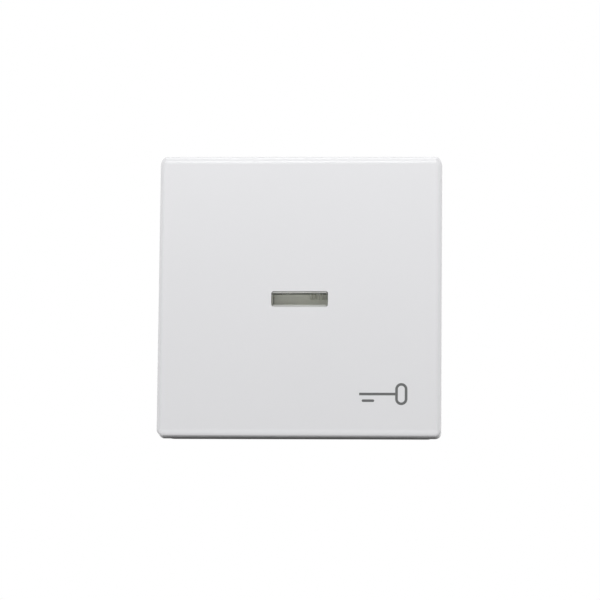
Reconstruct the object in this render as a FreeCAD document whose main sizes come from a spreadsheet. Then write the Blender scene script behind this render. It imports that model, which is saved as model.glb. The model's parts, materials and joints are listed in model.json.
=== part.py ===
import FreeCAD, Part
import os
import re
import Sketcher

# An illuminated push rocker for a flush wall box: a square rocker plate with a small window and a key
# sign, and behind it the insert that holds the rocker's pivot, the changeover contact, the glow lamp and
# the terminals.
# Millimetres. X is right, Z is up and the front faces -Y. The back of the support ring lies in the plane
# Y = 0, with the origin at its middle. Here "front" positions are measured forward from that plane.


SIZES = {
    # Support ring, the steel plate that is screwed to the wall box
    "ring_size": 67.0,
    "ring_corner": 3.0,
    "ring_thickness": 1.2,
    "box_screw_spacing": 60.0,
    "box_slot_length": 4.7,
    "box_slot_radius": 1.75,
    "opening_gap": 0.25,
    # Bearing frame, the moulded plate on the ring that carries the rocker
    "frame_rim": 2.8,
    "frame_corner": 3.0,
    "frame_plate": 1.6,
    "rivet_inset_x": 0.4,
    "rivet_inset_z": 0.6,
    "rivet_radius": 1.2,
    "rivet_head_radius": 2.0,
    "rivet_head": 0.7,
    "rivet_foot": 0.6,
    "rivet_gap": 0.1,
    "ear_gap": 0.3,
    "ear_width": 2.6,
    "ear_wall": 1.3,
    "stop_gap": 0.2,
    "stop_half_width": 3.0,
    "rest_stop_inset": 4.0,
    "end_stop_x": 8.0,
    "stop_depth": 2.0,
    "press_angle": 4.5,
    # Rocker plate
    "rocker_width": 68.0,
    "rocker_height": 68.0,
    "skirt_gap": 3.4,
    "skirt_depth": 6.9,
    "skirt_wall": 1.6,
    "cover_wall": 1.8,
    "cover_corner": 1.5,
    "cover_edge": 1.4,
    "cover_rib": 1.0,
    "cover_rib_height": 1.2,
    "cover_rib_inset": 10.0,
    "cover_rib_break": 9.0,
    "hook_inset_x": 3.5,
    "hook_inset_z": 4.7,
    "hook_width": 5.0,
    "hook_thickness": 1.4,
    "hook_nose": 0.8,
    "hook_nose_height": 0.8,
    # Window, lens and key sign in the rocker plate
    "window_width": 13.6,
    "window_height": 3.8,
    "window_corner": 0.6,
    "window_drop": 1.1,
    "lens_gap": 0.05,
    "lens_recess": 0.15,
    "lens_length": 4.0,
    "lens_flange_rim": 1.1,
    "lens_flange": 0.8,
    "lens_rib_pitch": 0.72,
    "lens_rib_depth": 0.35,
    "lens_rib_inset": 4.5,
    "collar_wall": 1.2,
    "collar_gap": 0.1,
    "sign_inset_x": 9.5,
    "sign_inset_z": 9.9,
    "sign_line": 0.62,
    "sign_depth": 0.25,
    "bow_width": 2.9,
    "bow_height": 5.3,
    "shank_length": 8.6,
    "bit_length": 3.0,
    "bit_start": 0.6,
    "bit_drop": 1.6,
    # Rocker yoke, the carrier that the plate snaps onto
    "yoke_half_width": 16.5,
    "yoke_half_height": 20.0,
    "yoke_plate": 1.6,
    "yoke_corner": 2.0,
    "yoke_gap": 1.7,
    "yoke_cheek": 1.6,
    "yoke_cheek_half": 3.2,
    "yoke_window_rim": 1.0,
    "pivot_rise": 2.1,
    "pivot_radius": 1.5,
    "pivot_gap": 0.05,
    "cheek_wall": 0.4,
    "pad_height": 0.4,
    "pad_half_width": 2.5,
    "pad_half_height": 1.0,
    # Insert housing and its rear cover
    "housing_inset_x": 10.0,
    "housing_inset_z": 8.0,
    "housing_chamfer": 6.0,
    "housing_wall": 1.6,
    "front_chamber": 7.2,
    "partition": 1.2,
    "rear_chamber": 11.0,
    "rear_plate": 1.6,
    "screw_inset": 2.2,
    "screw_z": 6.5,
    "screw_radius": 0.85,
    "screw_gap": 0.1,
    "screw_boss": 2.1,
    "screw_head_radius": 1.8,
    "screw_head": 0.9,
    "screw_grip": 1.2,
    "screw_recess_half": 0.2,
    "screw_recess_reach": 1.1,
    # Push slider and its return spring
    "slider_inset": 4.4,
    "slider_half_width": 3.0,
    "slider_half_height": 2.0,
    "slider_gap": 0.15,
    "slider_flange": 1.5,
    "slider_flange_gap": 0.3,
    "slider_arm_inset": 2.1,
    "slider_arm": 1.2,
    "guide_gap": 0.2,
    "return_coil_radius": 1.9,
    "return_wire_radius": 0.25,
    "return_turns": 4.0,
    "spring_seat_gap": 0.05,
    # Changeover contact
    "lever_inset": 3.8,
    "lever_half_width": 1.5,
    "lever_thickness": 0.7,
    "lever_pivot_z": 3.5,
    "lever_front": -2.1,
    "lever_end": 1.5,
    "lever_tab_gap": 0.1,
    "lever_tab_offset": 0.5,
    "lever_tab_half": 1.0,
    "contact_offset": 0.5,
    "contact_radius": 1.2,
    "contact_height": 0.7,
    "contact_gap_closed": 0.1,
    "contact_gap_open": 1.6,
    "contact_coil_radius": 1.2,
    "contact_wire_radius": 0.2,
    "contact_spring_z": 10.0,
    # Busbars and terminals
    "bar_thickness": 0.8,
    "bar_half_width": 3.5,
    "tongue_half_width": 1.0,
    "terminal_inset_x": 7.4,
    "terminal_inset_z": 5.4,
    "wire_hole_radius": 1.6,
    "bar_step": 0.2,
    "bar_rear_gap": 0.8,
    "bar_floor_gap": 0.6,
    "track_width": 2.8,
    "lever_post_half": 0.7,
    "lever_post_gap": 0.2,
    "clamp_thickness": 0.4,
    "clamp_half_width": 2.2,
    "clamp_back": 4.0,
    "clamp_bend_gap": 1.4,
    "clamp_tip_gap": 0.3,
    "clamp_drop": 5.8,
    "clamp_seat_gap": 0.3,
    "clamp_leg_length": 8.4,
    # Release buttons at the back
    "button_half_width": 2.5,
    "button_inset": 4.0,
    "button_half_height": 1.3,
    "button_proud": 0.8,
    "button_overreach": 0.5,
    "button_bar": 1.4,
    "button_bar_gap": 1.6,
    "button_finger": 1.3,
    "button_finger_rise": 0.9,
    # Glow lamp and its tray
    "tray_margin_x": 0.8,
    "tray_margin_z": 0.6,
    "tray_wall": 0.7,
    "tray_floor": 0.8,
    "tray_depth": 3.6,
    "tray_rim": 1.0,
    "tray_rim_thickness": 0.6,
    "lamp_radius": 2.0,
    "lamp_wall": 0.45,
    "lamp_front": 2.6,
    "lamp_margin_left": 3.0,
    "lamp_margin_right": 1.2,
    "lamp_base": 1.0,
    "lamp_tip_radius": 1.2,
    "lamp_seat_gap": 0.15,
    "saddle_x": 2.8,
    "saddle_width": 0.8,
    "electrode_radius": 0.35,
    "electrode_gap": 1.2,
    "lead_radius": 0.3,
    "lead_bend": 0.6,
    "lead_reach": 0.7,
    "lead_z": 1.1,
    "resistor_radius": 0.95,
    "resistor_length": 3.2,
    "resistor_edge": 0.3,
    "resistor_front": -1.5,
    # Spreader claws
    "claw_offset": 3.6,
    "claw_screw_radius": 1.45,
    "claw_hole_gap": 0.25,
    "claw_screw_length": 15.6,
    "claw_head_radius": 2.5,
    "claw_head": 2.0,
    "claw_head_edge": 0.6,
    "claw_recess_half": 0.35,
    "claw_recess_reach": 1.5,
    "claw_head_gap": 0.4,
    "claw_half_height": 3.2,
    "claw_thickness": 1.2,
    "claw_leg_front": -5.1,
    "claw_inner": 2.4,
    "claw_outer": 3.8,
    "claw_length": 11.4,
    "claw_tooth": 0.7,
    "claw_tooth_length": 1.8,
    "claw_outward": 2.5,
    "claw_forward": 4.0,
    "claw_ramp_gap": 0.3,
    "claw_ramp_width": 0.9,
    "ring_clear_depth": 2.2,
    "nut_thickness": 2.4,
    "nut_gap": 0.1,
    "nut_side_gap": 0.3,
    "nut_half_height": 2.0,
    "thread_gap": 0.08,
}

# Places that follow from the sizes
PLACES = {
    "housing_half_width": "box_screw_spacing / 2 - housing_inset_x",
    "housing_half_height": "box_screw_spacing / 2 - housing_inset_z",
    "rivet_x": "housing_half_width - rivet_inset_x",
    "rivet_z": "housing_half_height - rivet_inset_z",
    "frame_half_width": "max(rivet_x + frame_rim; ear_outer_x + ear_wall)",
    "frame_half_height": "rivet_z + frame_rim",
    "frame_front": "ring_thickness + frame_plate",
    "pivot_front": "frame_front + pivot_rise",
    "skirt_rear": "ring_thickness + skirt_gap",
    "rocker_front": "skirt_rear + skirt_depth",
    "cover_inside": "rocker_front - cover_wall",
    "rib_rear": "cover_inside - cover_rib_height",
    "yoke_front": "cover_inside - yoke_gap",
    "yoke_rear": "yoke_front - yoke_plate",
    "inside_half_width": "rocker_width / 2 - skirt_wall",
    "inside_half_height": "rocker_height / 2 - skirt_wall",
    "cover_rib_x": "rocker_width / 2 - cover_rib_inset",
    "cover_rib_z": "rocker_height / 2 - cover_rib_inset",
    "sign_x": "rocker_width / 2 - sign_inset_x",
    "sign_z": "rocker_height / 2 - sign_inset_z",
    "hook_x": "yoke_half_width - hook_inset_x",
    "hook_z": "yoke_half_height - hook_inset_z",
    "hook_nose_front": "yoke_rear - stop_gap",
    "hook_rear": "hook_nose_front - hook_nose_height",
    "lens_half_width": "window_width / 2 - lens_gap",
    "lens_half_height": "window_height / 2 - lens_gap",
    "lens_front": "rocker_front - lens_recess",
    "lens_rear": "lens_front - lens_length",
    "lens_rib_x": "window_width / 2 - lens_rib_inset",
    "flange_rear": "cover_inside - lens_flange",
    "flange_half_width": "window_width / 2 + lens_flange_rim",
    "flange_half_height": "window_height / 2 + lens_flange_rim",
    "collar_half_width": "flange_half_width + collar_gap",
    "collar_half_height": "flange_half_height + collar_gap",
    "collar_rear": "flange_rear - collar_gap",
    "pivot_bore": "pivot_radius + pivot_gap",
    "ear_inner_x": "yoke_half_width + ear_gap",
    "ear_outer_x": "ear_inner_x + ear_width",
    "ear_half": "pivot_bore + ear_wall",
    "rest_stop_z": "yoke_half_height - rest_stop_inset",
    "end_stop_front": "yoke_rear - yoke_half_height * tan(press_angle * 1 deg) - stop_gap",
    "slider_z": "inner_half_height - slider_inset",
    "slider_front": "yoke_rear - pad_height - slider_gap",
    "slider_rear": "lever_front + slider_gap",
    "slider_flange_front": "ring_thickness - slider_flange_gap",
    "partition_front": "-front_chamber",
    "partition_rear": "partition_front - partition",
    "rear_inside": "partition_rear - rear_chamber",
    "rear_face": "rear_inside - rear_plate",
    "inner_half_width": "housing_half_width - housing_wall",
    "inner_half_height": "housing_half_height - housing_wall",
    "screw_x": "inner_half_width - screw_inset",
    "terminal_x": "inner_half_width - terminal_inset_x",
    "terminal_z": "inner_half_height - terminal_inset_z",
    "lever_rear": "lever_front - lever_thickness",
    "lever_x": "bar_inner_x - lever_inset",
    "lever_tab_x": "slider_half_width + slider_flange + lever_tab_gap",
    "lever_tab_z": "slider_z - lever_tab_offset",
    "contact_z": "slider_z + contact_offset",
    "lever_end_z": "contact_z + lever_end",
    "slider_arm_reach": "lever_x - slider_arm_inset",
    "open_contact_front": "lever_rear - contact_height - contact_gap_open",
    "open_arm_front": "open_contact_front - contact_height + bar_step",
    "open_arm_rear": "open_arm_front - bar_thickness",
    "closed_contact_rear": "lever_front + contact_height + contact_gap_closed",
    "closed_arm_rear": "closed_contact_rear + contact_height",
    "closed_arm_front": "closed_arm_rear + bar_thickness",
    "bar_inner_x": "terminal_x + wire_hole_radius + bar_step",
    "bar_outer_x": "bar_inner_x + bar_thickness",
    "bar_rear": "rear_inside + bar_rear_gap",
    "bar_edge_low": "max(contact_z + lever_half_width; terminal_z + tongue_half_width)",
    "bar_edge_high": "min(contact_z - lever_half_width; terminal_z - tongue_half_width)",
    "track_rear": "partition_front + bar_floor_gap",
    "track_front": "track_rear + bar_thickness",
    "lever_post_front": "lever_rear - lever_post_gap",
    "clamp_front": "partition_rear - clamp_seat_gap",
    "clamp_bar_rear": "clamp_front - clamp_thickness",
    "clamp_back_x": "terminal_x - clamp_back",
    "clamp_bend_x": "bar_inner_x - clamp_bend_gap",
    "clamp_tip_x": "bar_inner_x - clamp_tip_gap",
    "clamp_tip_front": "clamp_front - clamp_drop",
    "button_z": "terminal_z - button_inset",
    "button_bar_reach": "terminal_x + button_overreach",
    "button_bar_rear": "rear_inside + button_bar_gap",
    "button_bar_front": "button_bar_rear + button_bar",
    "tray_half_length": "window_width / 2 + tray_margin_x",
    "tray_half_height": "lamp_radius + tray_wall + tray_margin_z",
    "tray_front": "frame_front",
    "tray_inside": "tray_front - tray_depth + tray_floor",
    "tray_rear": "tray_front - tray_depth",
    "lamp_left": "tray_half_length - lamp_margin_left",
    "lamp_right": "tray_half_length - lamp_margin_right",
    "lead_x": "lamp_left + lamp_base + lead_reach",
    "lamp_rear": "lamp_front - lamp_radius",
    "lamp_inner": "lamp_radius - lamp_wall",
    "resistor_rear": "resistor_front - resistor_length",
    "claw_screw_x": "max(housing_half_width + claw_offset; ear_outer_x + claw_head_radius + claw_head_gap)",
    "claw_inner_x": "claw_screw_x - claw_inner",
    "claw_outer_x": "claw_screw_x + claw_outer",
    "claw_hole": "claw_screw_radius + claw_hole_gap",
    "claw_leg_rear": "claw_leg_front - claw_thickness",
    "claw_plate_x": "claw_outer_x - claw_thickness",
    "claw_rear": "claw_leg_front - claw_length",
    "ramp_slope": "claw_outward / claw_forward",
    "ramp_top_x": "claw_inner_x - claw_ramp_gap + (-(ring_clear_depth) - claw_leg_front) * ramp_slope",
    "ramp_foot_front": "claw_leg_front - (claw_inner_x - claw_ramp_gap - housing_half_width) / ramp_slope",
    "nut_front": "claw_leg_rear - nut_gap",
    "nut_rear": "nut_front - nut_thickness",
    "nut_inner_x": "housing_half_width + nut_side_gap",
    "nut_outer_x": "claw_plate_x - nut_side_gap",
    "head_front": "ring_thickness + claw_head",
}

doc = FreeCAD.newDocument("illuminated_push_rocker")
sheet = doc.addObject("Spreadsheet::Sheet", "sizes")
for row, (name, size) in enumerate(SIZES.items(), start=1):
    sheet.set("A%d" % row, name)
    sheet.set("B%d" % row, str(size))
    sheet.setAlias("B%d" % row, name)
doc.recompute()

WORD = re.compile(r"[a-z][a-z0-9_]*")
# How far from a level an edge may stray and still count as lying on it
FLAT = 1e-4


def bound(text):
    """The expression with derived places written out and sizes read from the sheet."""
    def swap(match):
        word = match.group(0)
        if word in SIZES:
            return "sizes." + word
        if word in PLACES:
            return "(" + bound(PLACES[word]) + ")"
        return word
    return WORD.sub(swap, str(text))


def value(text):
    """What an expression comes to with the sheet's present numbers."""
    return float(sheet.evalExpression(bound(text)))


def minus(text):
    return "-(%s)" % text


# Outlines. A loop is a list of corners, and a corner that starts an arc also names the arc's centre and
# whether it runs counterclockwise.

def box(left, right, low, high):
    return [(left, low), (right, low), (right, high), (left, high)]


def middle_box(half_width, half_height):
    return box(minus(half_width), half_width, minus(half_height), half_height)


def rounded(left, right, low, high, radius):
    left_in, right_in = "%s + %s" % (left, radius), "%s - (%s)" % (right, radius)
    low_in, high_in = "%s + %s" % (low, radius), "%s - (%s)" % (high, radius)
    return [
        (left_in, low), (right_in, low, right_in, low_in, True),
        (right, low_in), (right, high_in, right_in, high_in, True),
        (right_in, high), (left_in, high, left_in, high_in, True),
        (left, high_in), (left, low_in, left_in, low_in, True),
    ]


def middle_rounded(half_width, half_height, radius):
    return rounded(minus(half_width), half_width, minus(half_height), half_height, radius)


def chamfered(half_width, half_height, chamfer):
    x_in = "%s - (%s)" % (half_width, chamfer)
    z_in = "%s - (%s)" % (half_height, chamfer)
    return [
        (minus(x_in), minus(half_height)), (x_in, minus(half_height)),
        (half_width, minus(z_in)), (half_width, z_in),
        (x_in, half_height), (minus(x_in), half_height),
        (minus(half_width), z_in), (minus(half_width), minus(z_in)),
    ]


def slot_across(x, z, half_run, radius):
    """A slot that is long in X: half_run is from its middle to an end's centre."""
    left, right = "%s - (%s)" % (x, half_run), "%s + %s" % (x, half_run)
    low, high = "%s - (%s)" % (z, radius), "%s + %s" % (z, radius)
    return [(left, low), (right, low, right, z, True), (right, high), (left, high, left, z, True)]


def slot_upright(x, z, half_run, radius):
    low, high = "%s - (%s)" % (z, half_run), "%s + %s" % (z, half_run)
    left, right = "%s - (%s)" % (x, radius), "%s + %s" % (x, radius)
    return [(right, low), (right, high, x, high, True), (left, high), (left, low, x, low, True)]


def circle(x, z, radius):
    return {"centre": (x, z), "radius": radius}


def flipped(outline, flip_x, flip_z):
    """The same outline mirrored left to right, top to bottom, or both."""
    def turn(x, z):
        return (minus(x) if flip_x else x), (minus(z) if flip_z else z)
    if isinstance(outline, dict):
        return {"centre": turn(*outline["centre"]), "radius": outline["radius"]}
    corners = []
    for corner in outline:
        if len(corner) == 2:
            corners.append(turn(*corner))
        else:
            same_way = corner[4] if flip_x == flip_z else not corner[4]
            corners.append(turn(corner[0], corner[1]) + turn(corner[2], corner[3]) + (same_way,))
    return corners


def lowered(outline):
    """The same loop set lower, as the window is below the plate's middle."""
    corners = []
    for corner in outline:
        places = [corner[0], "%s - window_drop" % corner[1]]
        if len(corner) > 2:
            places += [corner[2], "%s - window_drop" % corner[3], corner[4]]
        corners.append(tuple(places))
    return corners


def both_sides(outline):
    return [outline, flipped(outline, True, False)]


def top_and_bottom(outline):
    return [outline, flipped(outline, False, True)]


def four_corners(outline):
    return both_sides(outline) + both_sides(flipped(outline, False, True))


class Piece:
    """A body whose sketches and features read their sizes from the sheet."""

    def __init__(self, label):
        self.body = doc.addObject("PartDesign::Body", label)
        self.body.Label = label
        self.planes = {plane.Role: plane for plane in self.body.Origin.OriginFeatures}
        self.count = 0

    def sketch(self, plane, place, outlines):
        """plane XZ: x, z seen from the front, at a front position. XY: x, front, at a height.
        YZ: front, z, at an x."""
        self.count += 1
        sketch = self.body.newObject("Sketcher::SketchObject", "%s_sketch_%d" % (self.body.Label, self.count))
        sketch.AttachmentSupport = [(self.planes[plane + "_Plane"], "")]
        sketch.MapMode = "FlatFace"
        sketch.setExpression("AttachmentOffset.Base.z", bound(place))
        for outline in outlines:
            if isinstance(outline, dict):
                self.draw_circle(sketch, plane, outline)
            else:
                self.draw_loop(sketch, plane, outline)
        return sketch

    @staticmethod
    def turned(plane, first, second):
        if plane == "XY":
            return first, minus(second)
        if plane == "YZ":
            return minus(first), second
        return first, second

    def draw_circle(self, sketch, plane, outline):
        x, z = self.turned(plane, *outline["centre"])
        radius = value(outline["radius"])
        centre = FreeCAD.Vector(value(x), value(z), 0)
        edge = sketch.addGeometry(Part.Circle(centre, FreeCAD.Vector(0, 0, 1), radius), False)
        self.tie(sketch, [
            (Sketcher.Constraint("DistanceX", -1, 1, edge, 3, value(x)), x),
            (Sketcher.Constraint("DistanceY", -1, 1, edge, 3, value(z)), z),
            (Sketcher.Constraint("Radius", edge, radius), outline["radius"]),
        ])

    def draw_loop(self, sketch, plane, corners):
        places = [self.turned(plane, corner[0], corner[1]) for corner in corners]
        points = [FreeCAD.Vector(value(x), value(z), 0) for x, z in places]
        edges = []
        starts = []
        ends = []
        ties = []
        for index, corner in enumerate(corners):
            here, there = points[index], points[(index + 1) % len(points)]
            if len(corner) == 2:
                edges.append(sketch.addGeometry(Part.LineSegment(here, there), False))
                starts.append(1)
                ends.append(2)
                continue
            centre_place = self.turned(plane, corner[2], corner[3])
            centre = FreeCAD.Vector(value(centre_place[0]), value(centre_place[1]), 0)
            counterclockwise = corner[4] if plane == "XZ" else not corner[4]
            first, last = (here, there) if counterclockwise else (there, here)
            whole = Part.Circle(centre, FreeCAD.Vector(0, 0, 1), (here - centre).Length)
            arc = Part.ArcOfCircle(whole, whole.parameter(first), whole.parameter(last))
            edges.append(sketch.addGeometry(arc, False))
            starts.append(1 if counterclockwise else 2)
            ends.append(2 if counterclockwise else 1)
            chord = there - here
            kind, number = ("DistanceX", 0) if abs(chord.y) >= abs(chord.x) else ("DistanceY", 1)
            constraint = Sketcher.Constraint(kind, -1, 1, edges[-1], 3, value(centre_place[number]))
            ties.append((constraint, centre_place[number]))
        joints = []
        for index, edge in enumerate(edges):
            after = (index + 1) % len(edges)
            joints.append(Sketcher.Constraint("Coincident", edge, ends[index], edges[after], starts[after]))
            for kind, number in (("DistanceX", 0), ("DistanceY", 1)):
                place = places[index][number]
                constraint = Sketcher.Constraint(kind, -1, 1, edge, starts[index], value(place))
                ties.append((constraint, place))
        sketch.addConstraint(joints)
        self.tie(sketch, ties)

    @staticmethod
    def tie(sketch, ties):
        numbers = sketch.addConstraint([constraint for constraint, text in ties])
        for number, (constraint, text) in zip(numbers, ties):
            sketch.setExpression("Constraints[%d]" % number, bound(text))

    def pad(self, plane, low, high, *outlines):
        """Adds material from low to high, measured along the plane's own direction."""
        sketch = self.sketch(plane, low, outlines)
        feature = self.body.newObject("PartDesign::Pad", "%s_pad_%d" % (self.body.Label, self.count))
        feature.Profile = sketch
        feature.setExpression("Length", bound("%s - (%s)" % (high, low)))
        doc.recompute()
        return feature

    def cut(self, plane, low, high, *outlines):
        """Takes material away from low to high."""
        sketch = self.sketch(plane, high, outlines)
        before = self.body.Shape.Volume
        feature = self.body.newObject("PartDesign::Pocket", "%s_cut_%d" % (self.body.Label, self.count))
        feature.Profile = sketch
        feature.setExpression("Length", bound("%s - (%s)" % (high, low)))
        doc.recompute()
        if self.body.Shape.Volume >= before:
            raise RuntimeError("%s: cut %d takes nothing away" % (self.body.Label, self.count))
        return feature

    def bend(self, x, front, *outlines):
        """Turns outlines a quarter way about the upright line at x, from running backward to running
        to the right. The outlines lie left of that line and take their x from it."""
        sketch = self.sketch("XZ", front, outlines)
        sketch.setExpression("AttachmentOffset.Base.x", bound(x))
        feature = self.body.newObject("PartDesign::Revolution", "%s_bend_%d" % (self.body.Label, self.count))
        feature.Profile = sketch
        feature.ReferenceAxis = (sketch, ["V_Axis"])
        feature.Angle = 90
        doc.recompute()
        return feature

    def edges_at_front(self, front):
        """Names of the edges that lie flat at a front position."""
        level = -value(front)
        names = []
        for number, edge in enumerate(self.body.Shape.Edges, start=1):
            span = edge.BoundBox
            if abs(span.YMin - level) < FLAT and abs(span.YMax - level) < FLAT:
                names.append("Edge%d" % number)
        return names

    def round_edges(self, names, radius):
        self.count += 1
        base = self.body.Tip
        feature = self.body.newObject("PartDesign::Fillet", "%s_edges_%d" % (self.body.Label, self.count))
        feature.Base = (base, names)
        feature.setExpression("Radius", bound(radius))
        doc.recompute()


def coil(label, x, z, low, high, coil_radius, wire_radius, turns):
    """A compression spring that stands along Y between two front positions."""
    piece = Piece(label)
    piece.body.setExpression("Placement.Base.x", bound(x))
    piece.body.setExpression("Placement.Base.z", bound(z))
    wire = circle(coil_radius, "%s + %s" % (low, wire_radius), wire_radius)
    sketch = piece.sketch("XY", "0", [wire])
    helix = piece.body.newObject("PartDesign::AdditiveHelix", label + "_turns")
    helix.Profile = sketch
    helix.ReferenceAxis = (piece.planes["Y_Axis"], [""])
    helix.Mode = "height-turns-growth"
    helix.Reversed = True
    helix.setExpression("Height", bound("%s - (%s) - 2 * (%s)" % (high, low, wire_radius)))
    helix.setExpression("Turns", bound(turns))
    doc.recompute()
    return piece


def rocker_cover():
    """The pressed plate: a shallow cap with a window, a recessed key sign, ribs and four snap hooks."""
    piece = Piece("rocker_cover")
    outer = middle_rounded("rocker_width / 2", "rocker_height / 2", "cover_corner")
    piece.pad("XZ", "skirt_rear", "rocker_front", outer)
    piece.round_edges(piece.edges_at_front("rocker_front"), "cover_edge")
    piece.cut("XZ", "skirt_rear", "cover_inside", middle_box("inside_half_width", "inside_half_height"))
    upright = box("cover_rib_x - cover_rib / 2", "cover_rib_x + cover_rib / 2",
                  "cover_rib_break", "inside_half_height")
    piece.pad("XZ", "rib_rear", "cover_inside", *four_corners(upright))
    cross = box("-(cover_rib_x - cover_rib / 2)", "cover_rib_x - cover_rib / 2",
                "cover_rib_z - cover_rib / 2", "cover_rib_z + cover_rib / 2")
    piece.pad("XZ", "rib_rear", "cover_inside", *top_and_bottom(cross))
    collar = middle_box("collar_half_width + collar_wall", "collar_half_height + collar_wall")
    collar_inside = middle_box("collar_half_width", "collar_half_height")
    piece.pad("XZ", "collar_rear", "cover_inside", lowered(collar), lowered(collar_inside))
    leg = box("hook_x - hook_width / 2", "hook_x + hook_width / 2",
              "hook_z - hook_thickness / 2", "hook_z + hook_thickness / 2")
    piece.pad("XZ", "hook_rear", "cover_inside", *four_corners(leg))
    nose = box("hook_x - hook_width / 2", "hook_x + hook_width / 2",
               "hook_z + hook_thickness / 2", "hook_z + hook_thickness / 2 + hook_nose")
    piece.pad("XZ", "hook_rear", "hook_nose_front", *four_corners(nose))
    window = middle_rounded("window_width / 2", "window_height / 2", "window_corner")
    piece.cut("XZ", "cover_inside", "rocker_front", lowered(window))
    piece.cut("XZ", "rocker_front - sign_depth", "rocker_front", *key_outlines())
    return piece


def key_outlines():
    """The key sign: its bow and shank in one loop, its bit, and the bow's clear middle."""
    left, right = "sign_x - bow_width / 2", "sign_x + bow_width / 2"
    round_low = "-(sign_z) - (bow_height - bow_width) / 2"
    round_high = "-(sign_z) + (bow_height - bow_width) / 2"
    shank_low, shank_high = "-(sign_z) - sign_line / 2", "-(sign_z) + sign_line / 2"
    shank_end = "sign_x - bow_width / 2 - shank_length"
    outside = [
        (shank_end, shank_low), (left, shank_low),
        (left, round_low, "sign_x", round_low, True), (right, round_low),
        (right, round_high, "sign_x", round_high, True), (left, round_high),
        (left, shank_high), (shank_end, shank_high),
    ]
    bit_left = "sign_x - bow_width / 2 - shank_length + bit_start"
    bit_middle = "%s + bit_length / 2" % bit_left
    bit = slot_across(bit_middle, "-(sign_z) - bit_drop", "(bit_length - sign_line) / 2", "sign_line / 2")
    middle = slot_upright("sign_x", "-(sign_z)", "(bow_height - bow_width) / 2", "bow_width / 2 - sign_line")
    return outside, bit, middle


def key_symbol():
    """The dark filling of the recess that shows the key."""
    piece = Piece("key_symbol")
    piece.pad("XZ", "rocker_front - sign_depth", "rocker_front", *key_outlines())
    return piece


def lens():
    """The clear window block with a flange behind the plate and prism ribs on part of its back."""
    piece = Piece("lens")
    optic = middle_rounded("lens_half_width", "lens_half_height", "window_corner - lens_gap")
    piece.pad("XZ", "lens_rear", "lens_front", lowered(optic))
    flange = middle_box("flange_half_width", "flange_half_height")
    piece.pad("XZ", "flange_rear", "cover_inside", lowered(flange))
    grooves = []
    for number in range(5):
        left = "lens_rib_x + %d * lens_rib_pitch" % number
        groove = box(left, left + " + lens_rib_pitch / 2", "-(lens_half_height) + lens_rib_depth",
                     "lens_half_height - lens_rib_depth")
        grooves.append(lowered(groove))
    piece.cut("XZ", "lens_rear", "lens_rear + lens_rib_depth", *grooves)
    return piece


def rocker_yoke():
    """The carrier under the plate, with cheeks and trunnions for the pivot."""
    piece = Piece("rocker_yoke")
    rim_x = "collar_half_width + yoke_window_rim"
    rim_z = "collar_half_height + yoke_window_rim"
    hook_slot = box("hook_x - hook_width / 2 - guide_gap", "hook_x + hook_width / 2 + guide_gap",
                    "hook_z - hook_thickness / 2 - guide_gap", "hook_z + hook_thickness / 2 + guide_gap")
    outer = middle_rounded("yoke_half_width", "yoke_half_height", "yoke_corner")
    opening = lowered(middle_box(rim_x, rim_z))
    piece.pad("XZ", "yoke_rear", "yoke_front", outer, opening, *four_corners(hook_slot))
    cheek_left = "yoke_half_width - yoke_cheek"
    piece.pad("YZ", cheek_left, "yoke_half_width",
              box("pivot_front", "yoke_rear", "-(yoke_cheek_half)", "yoke_cheek_half"))
    piece.pad("YZ", "-(yoke_half_width)", minus(cheek_left),
              box("pivot_front", "yoke_rear", "-(yoke_cheek_half)", "yoke_cheek_half"))
    eye = circle("pivot_front", "0", "pivot_radius + cheek_wall")
    piece.pad("YZ", cheek_left, "yoke_half_width", eye)
    piece.pad("YZ", "-(yoke_half_width)", minus(cheek_left), eye)
    trunnion = circle("pivot_front", "0", "pivot_radius")
    piece.pad("YZ", cheek_left, "ear_outer_x + stop_gap", trunnion)
    piece.pad("YZ", "-(ear_outer_x + stop_gap)", minus(cheek_left), trunnion)
    pad = box("-(pad_half_width)", "pad_half_width",
              "-(slider_z) - pad_half_height", "-(slider_z) + pad_half_height")
    piece.pad("XZ", "yoke_rear - pad_height", "yoke_rear", pad)
    return piece


def support_ring():
    """The steel plate: opening for the housing, box-screw slots, rivet and claw-screw holes."""
    piece = Piece("support_ring")
    opening = chamfered("housing_half_width + opening_gap", "housing_half_height + opening_gap",
                        "housing_chamfer")
    run = "box_slot_length / 2 - box_slot_radius"
    slots = both_sides(slot_across("box_screw_spacing / 2", "0", run, "box_slot_radius"))
    slots += top_and_bottom(slot_upright("0", "box_screw_spacing / 2", run, "box_slot_radius"))
    rivets = four_corners(circle("rivet_x", "rivet_z", "rivet_radius + rivet_gap"))
    claws = both_sides(circle("claw_screw_x", "0", "claw_hole"))
    outer = middle_rounded("ring_size / 2", "ring_size / 2", "ring_corner")
    piece.pad("XZ", "0", "ring_thickness", outer, opening)
    piece.cut("XZ", "0", "ring_thickness", *slots, *rivets, *claws)
    counterbores = four_corners(circle("rivet_x", "rivet_z", "rivet_head_radius + rivet_gap"))
    piece.cut("XZ", "0", "rivet_foot", *counterbores)
    return piece


def frame_rivets():
    """Four rivets that hold the ring to the bearing frame, flush at the ring's back."""
    piece = Piece("frame_rivets")
    shank = circle("rivet_x", "rivet_z", "rivet_radius")
    head = circle("rivet_x", "rivet_z", "rivet_head_radius")
    piece.pad("XZ", "0", "rivet_foot", *four_corners(head))
    piece.pad("XZ", "rivet_foot", "frame_front", *four_corners(shank))
    piece.pad("XZ", "frame_front", "frame_front + rivet_head", *four_corners(head))
    return piece


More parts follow.
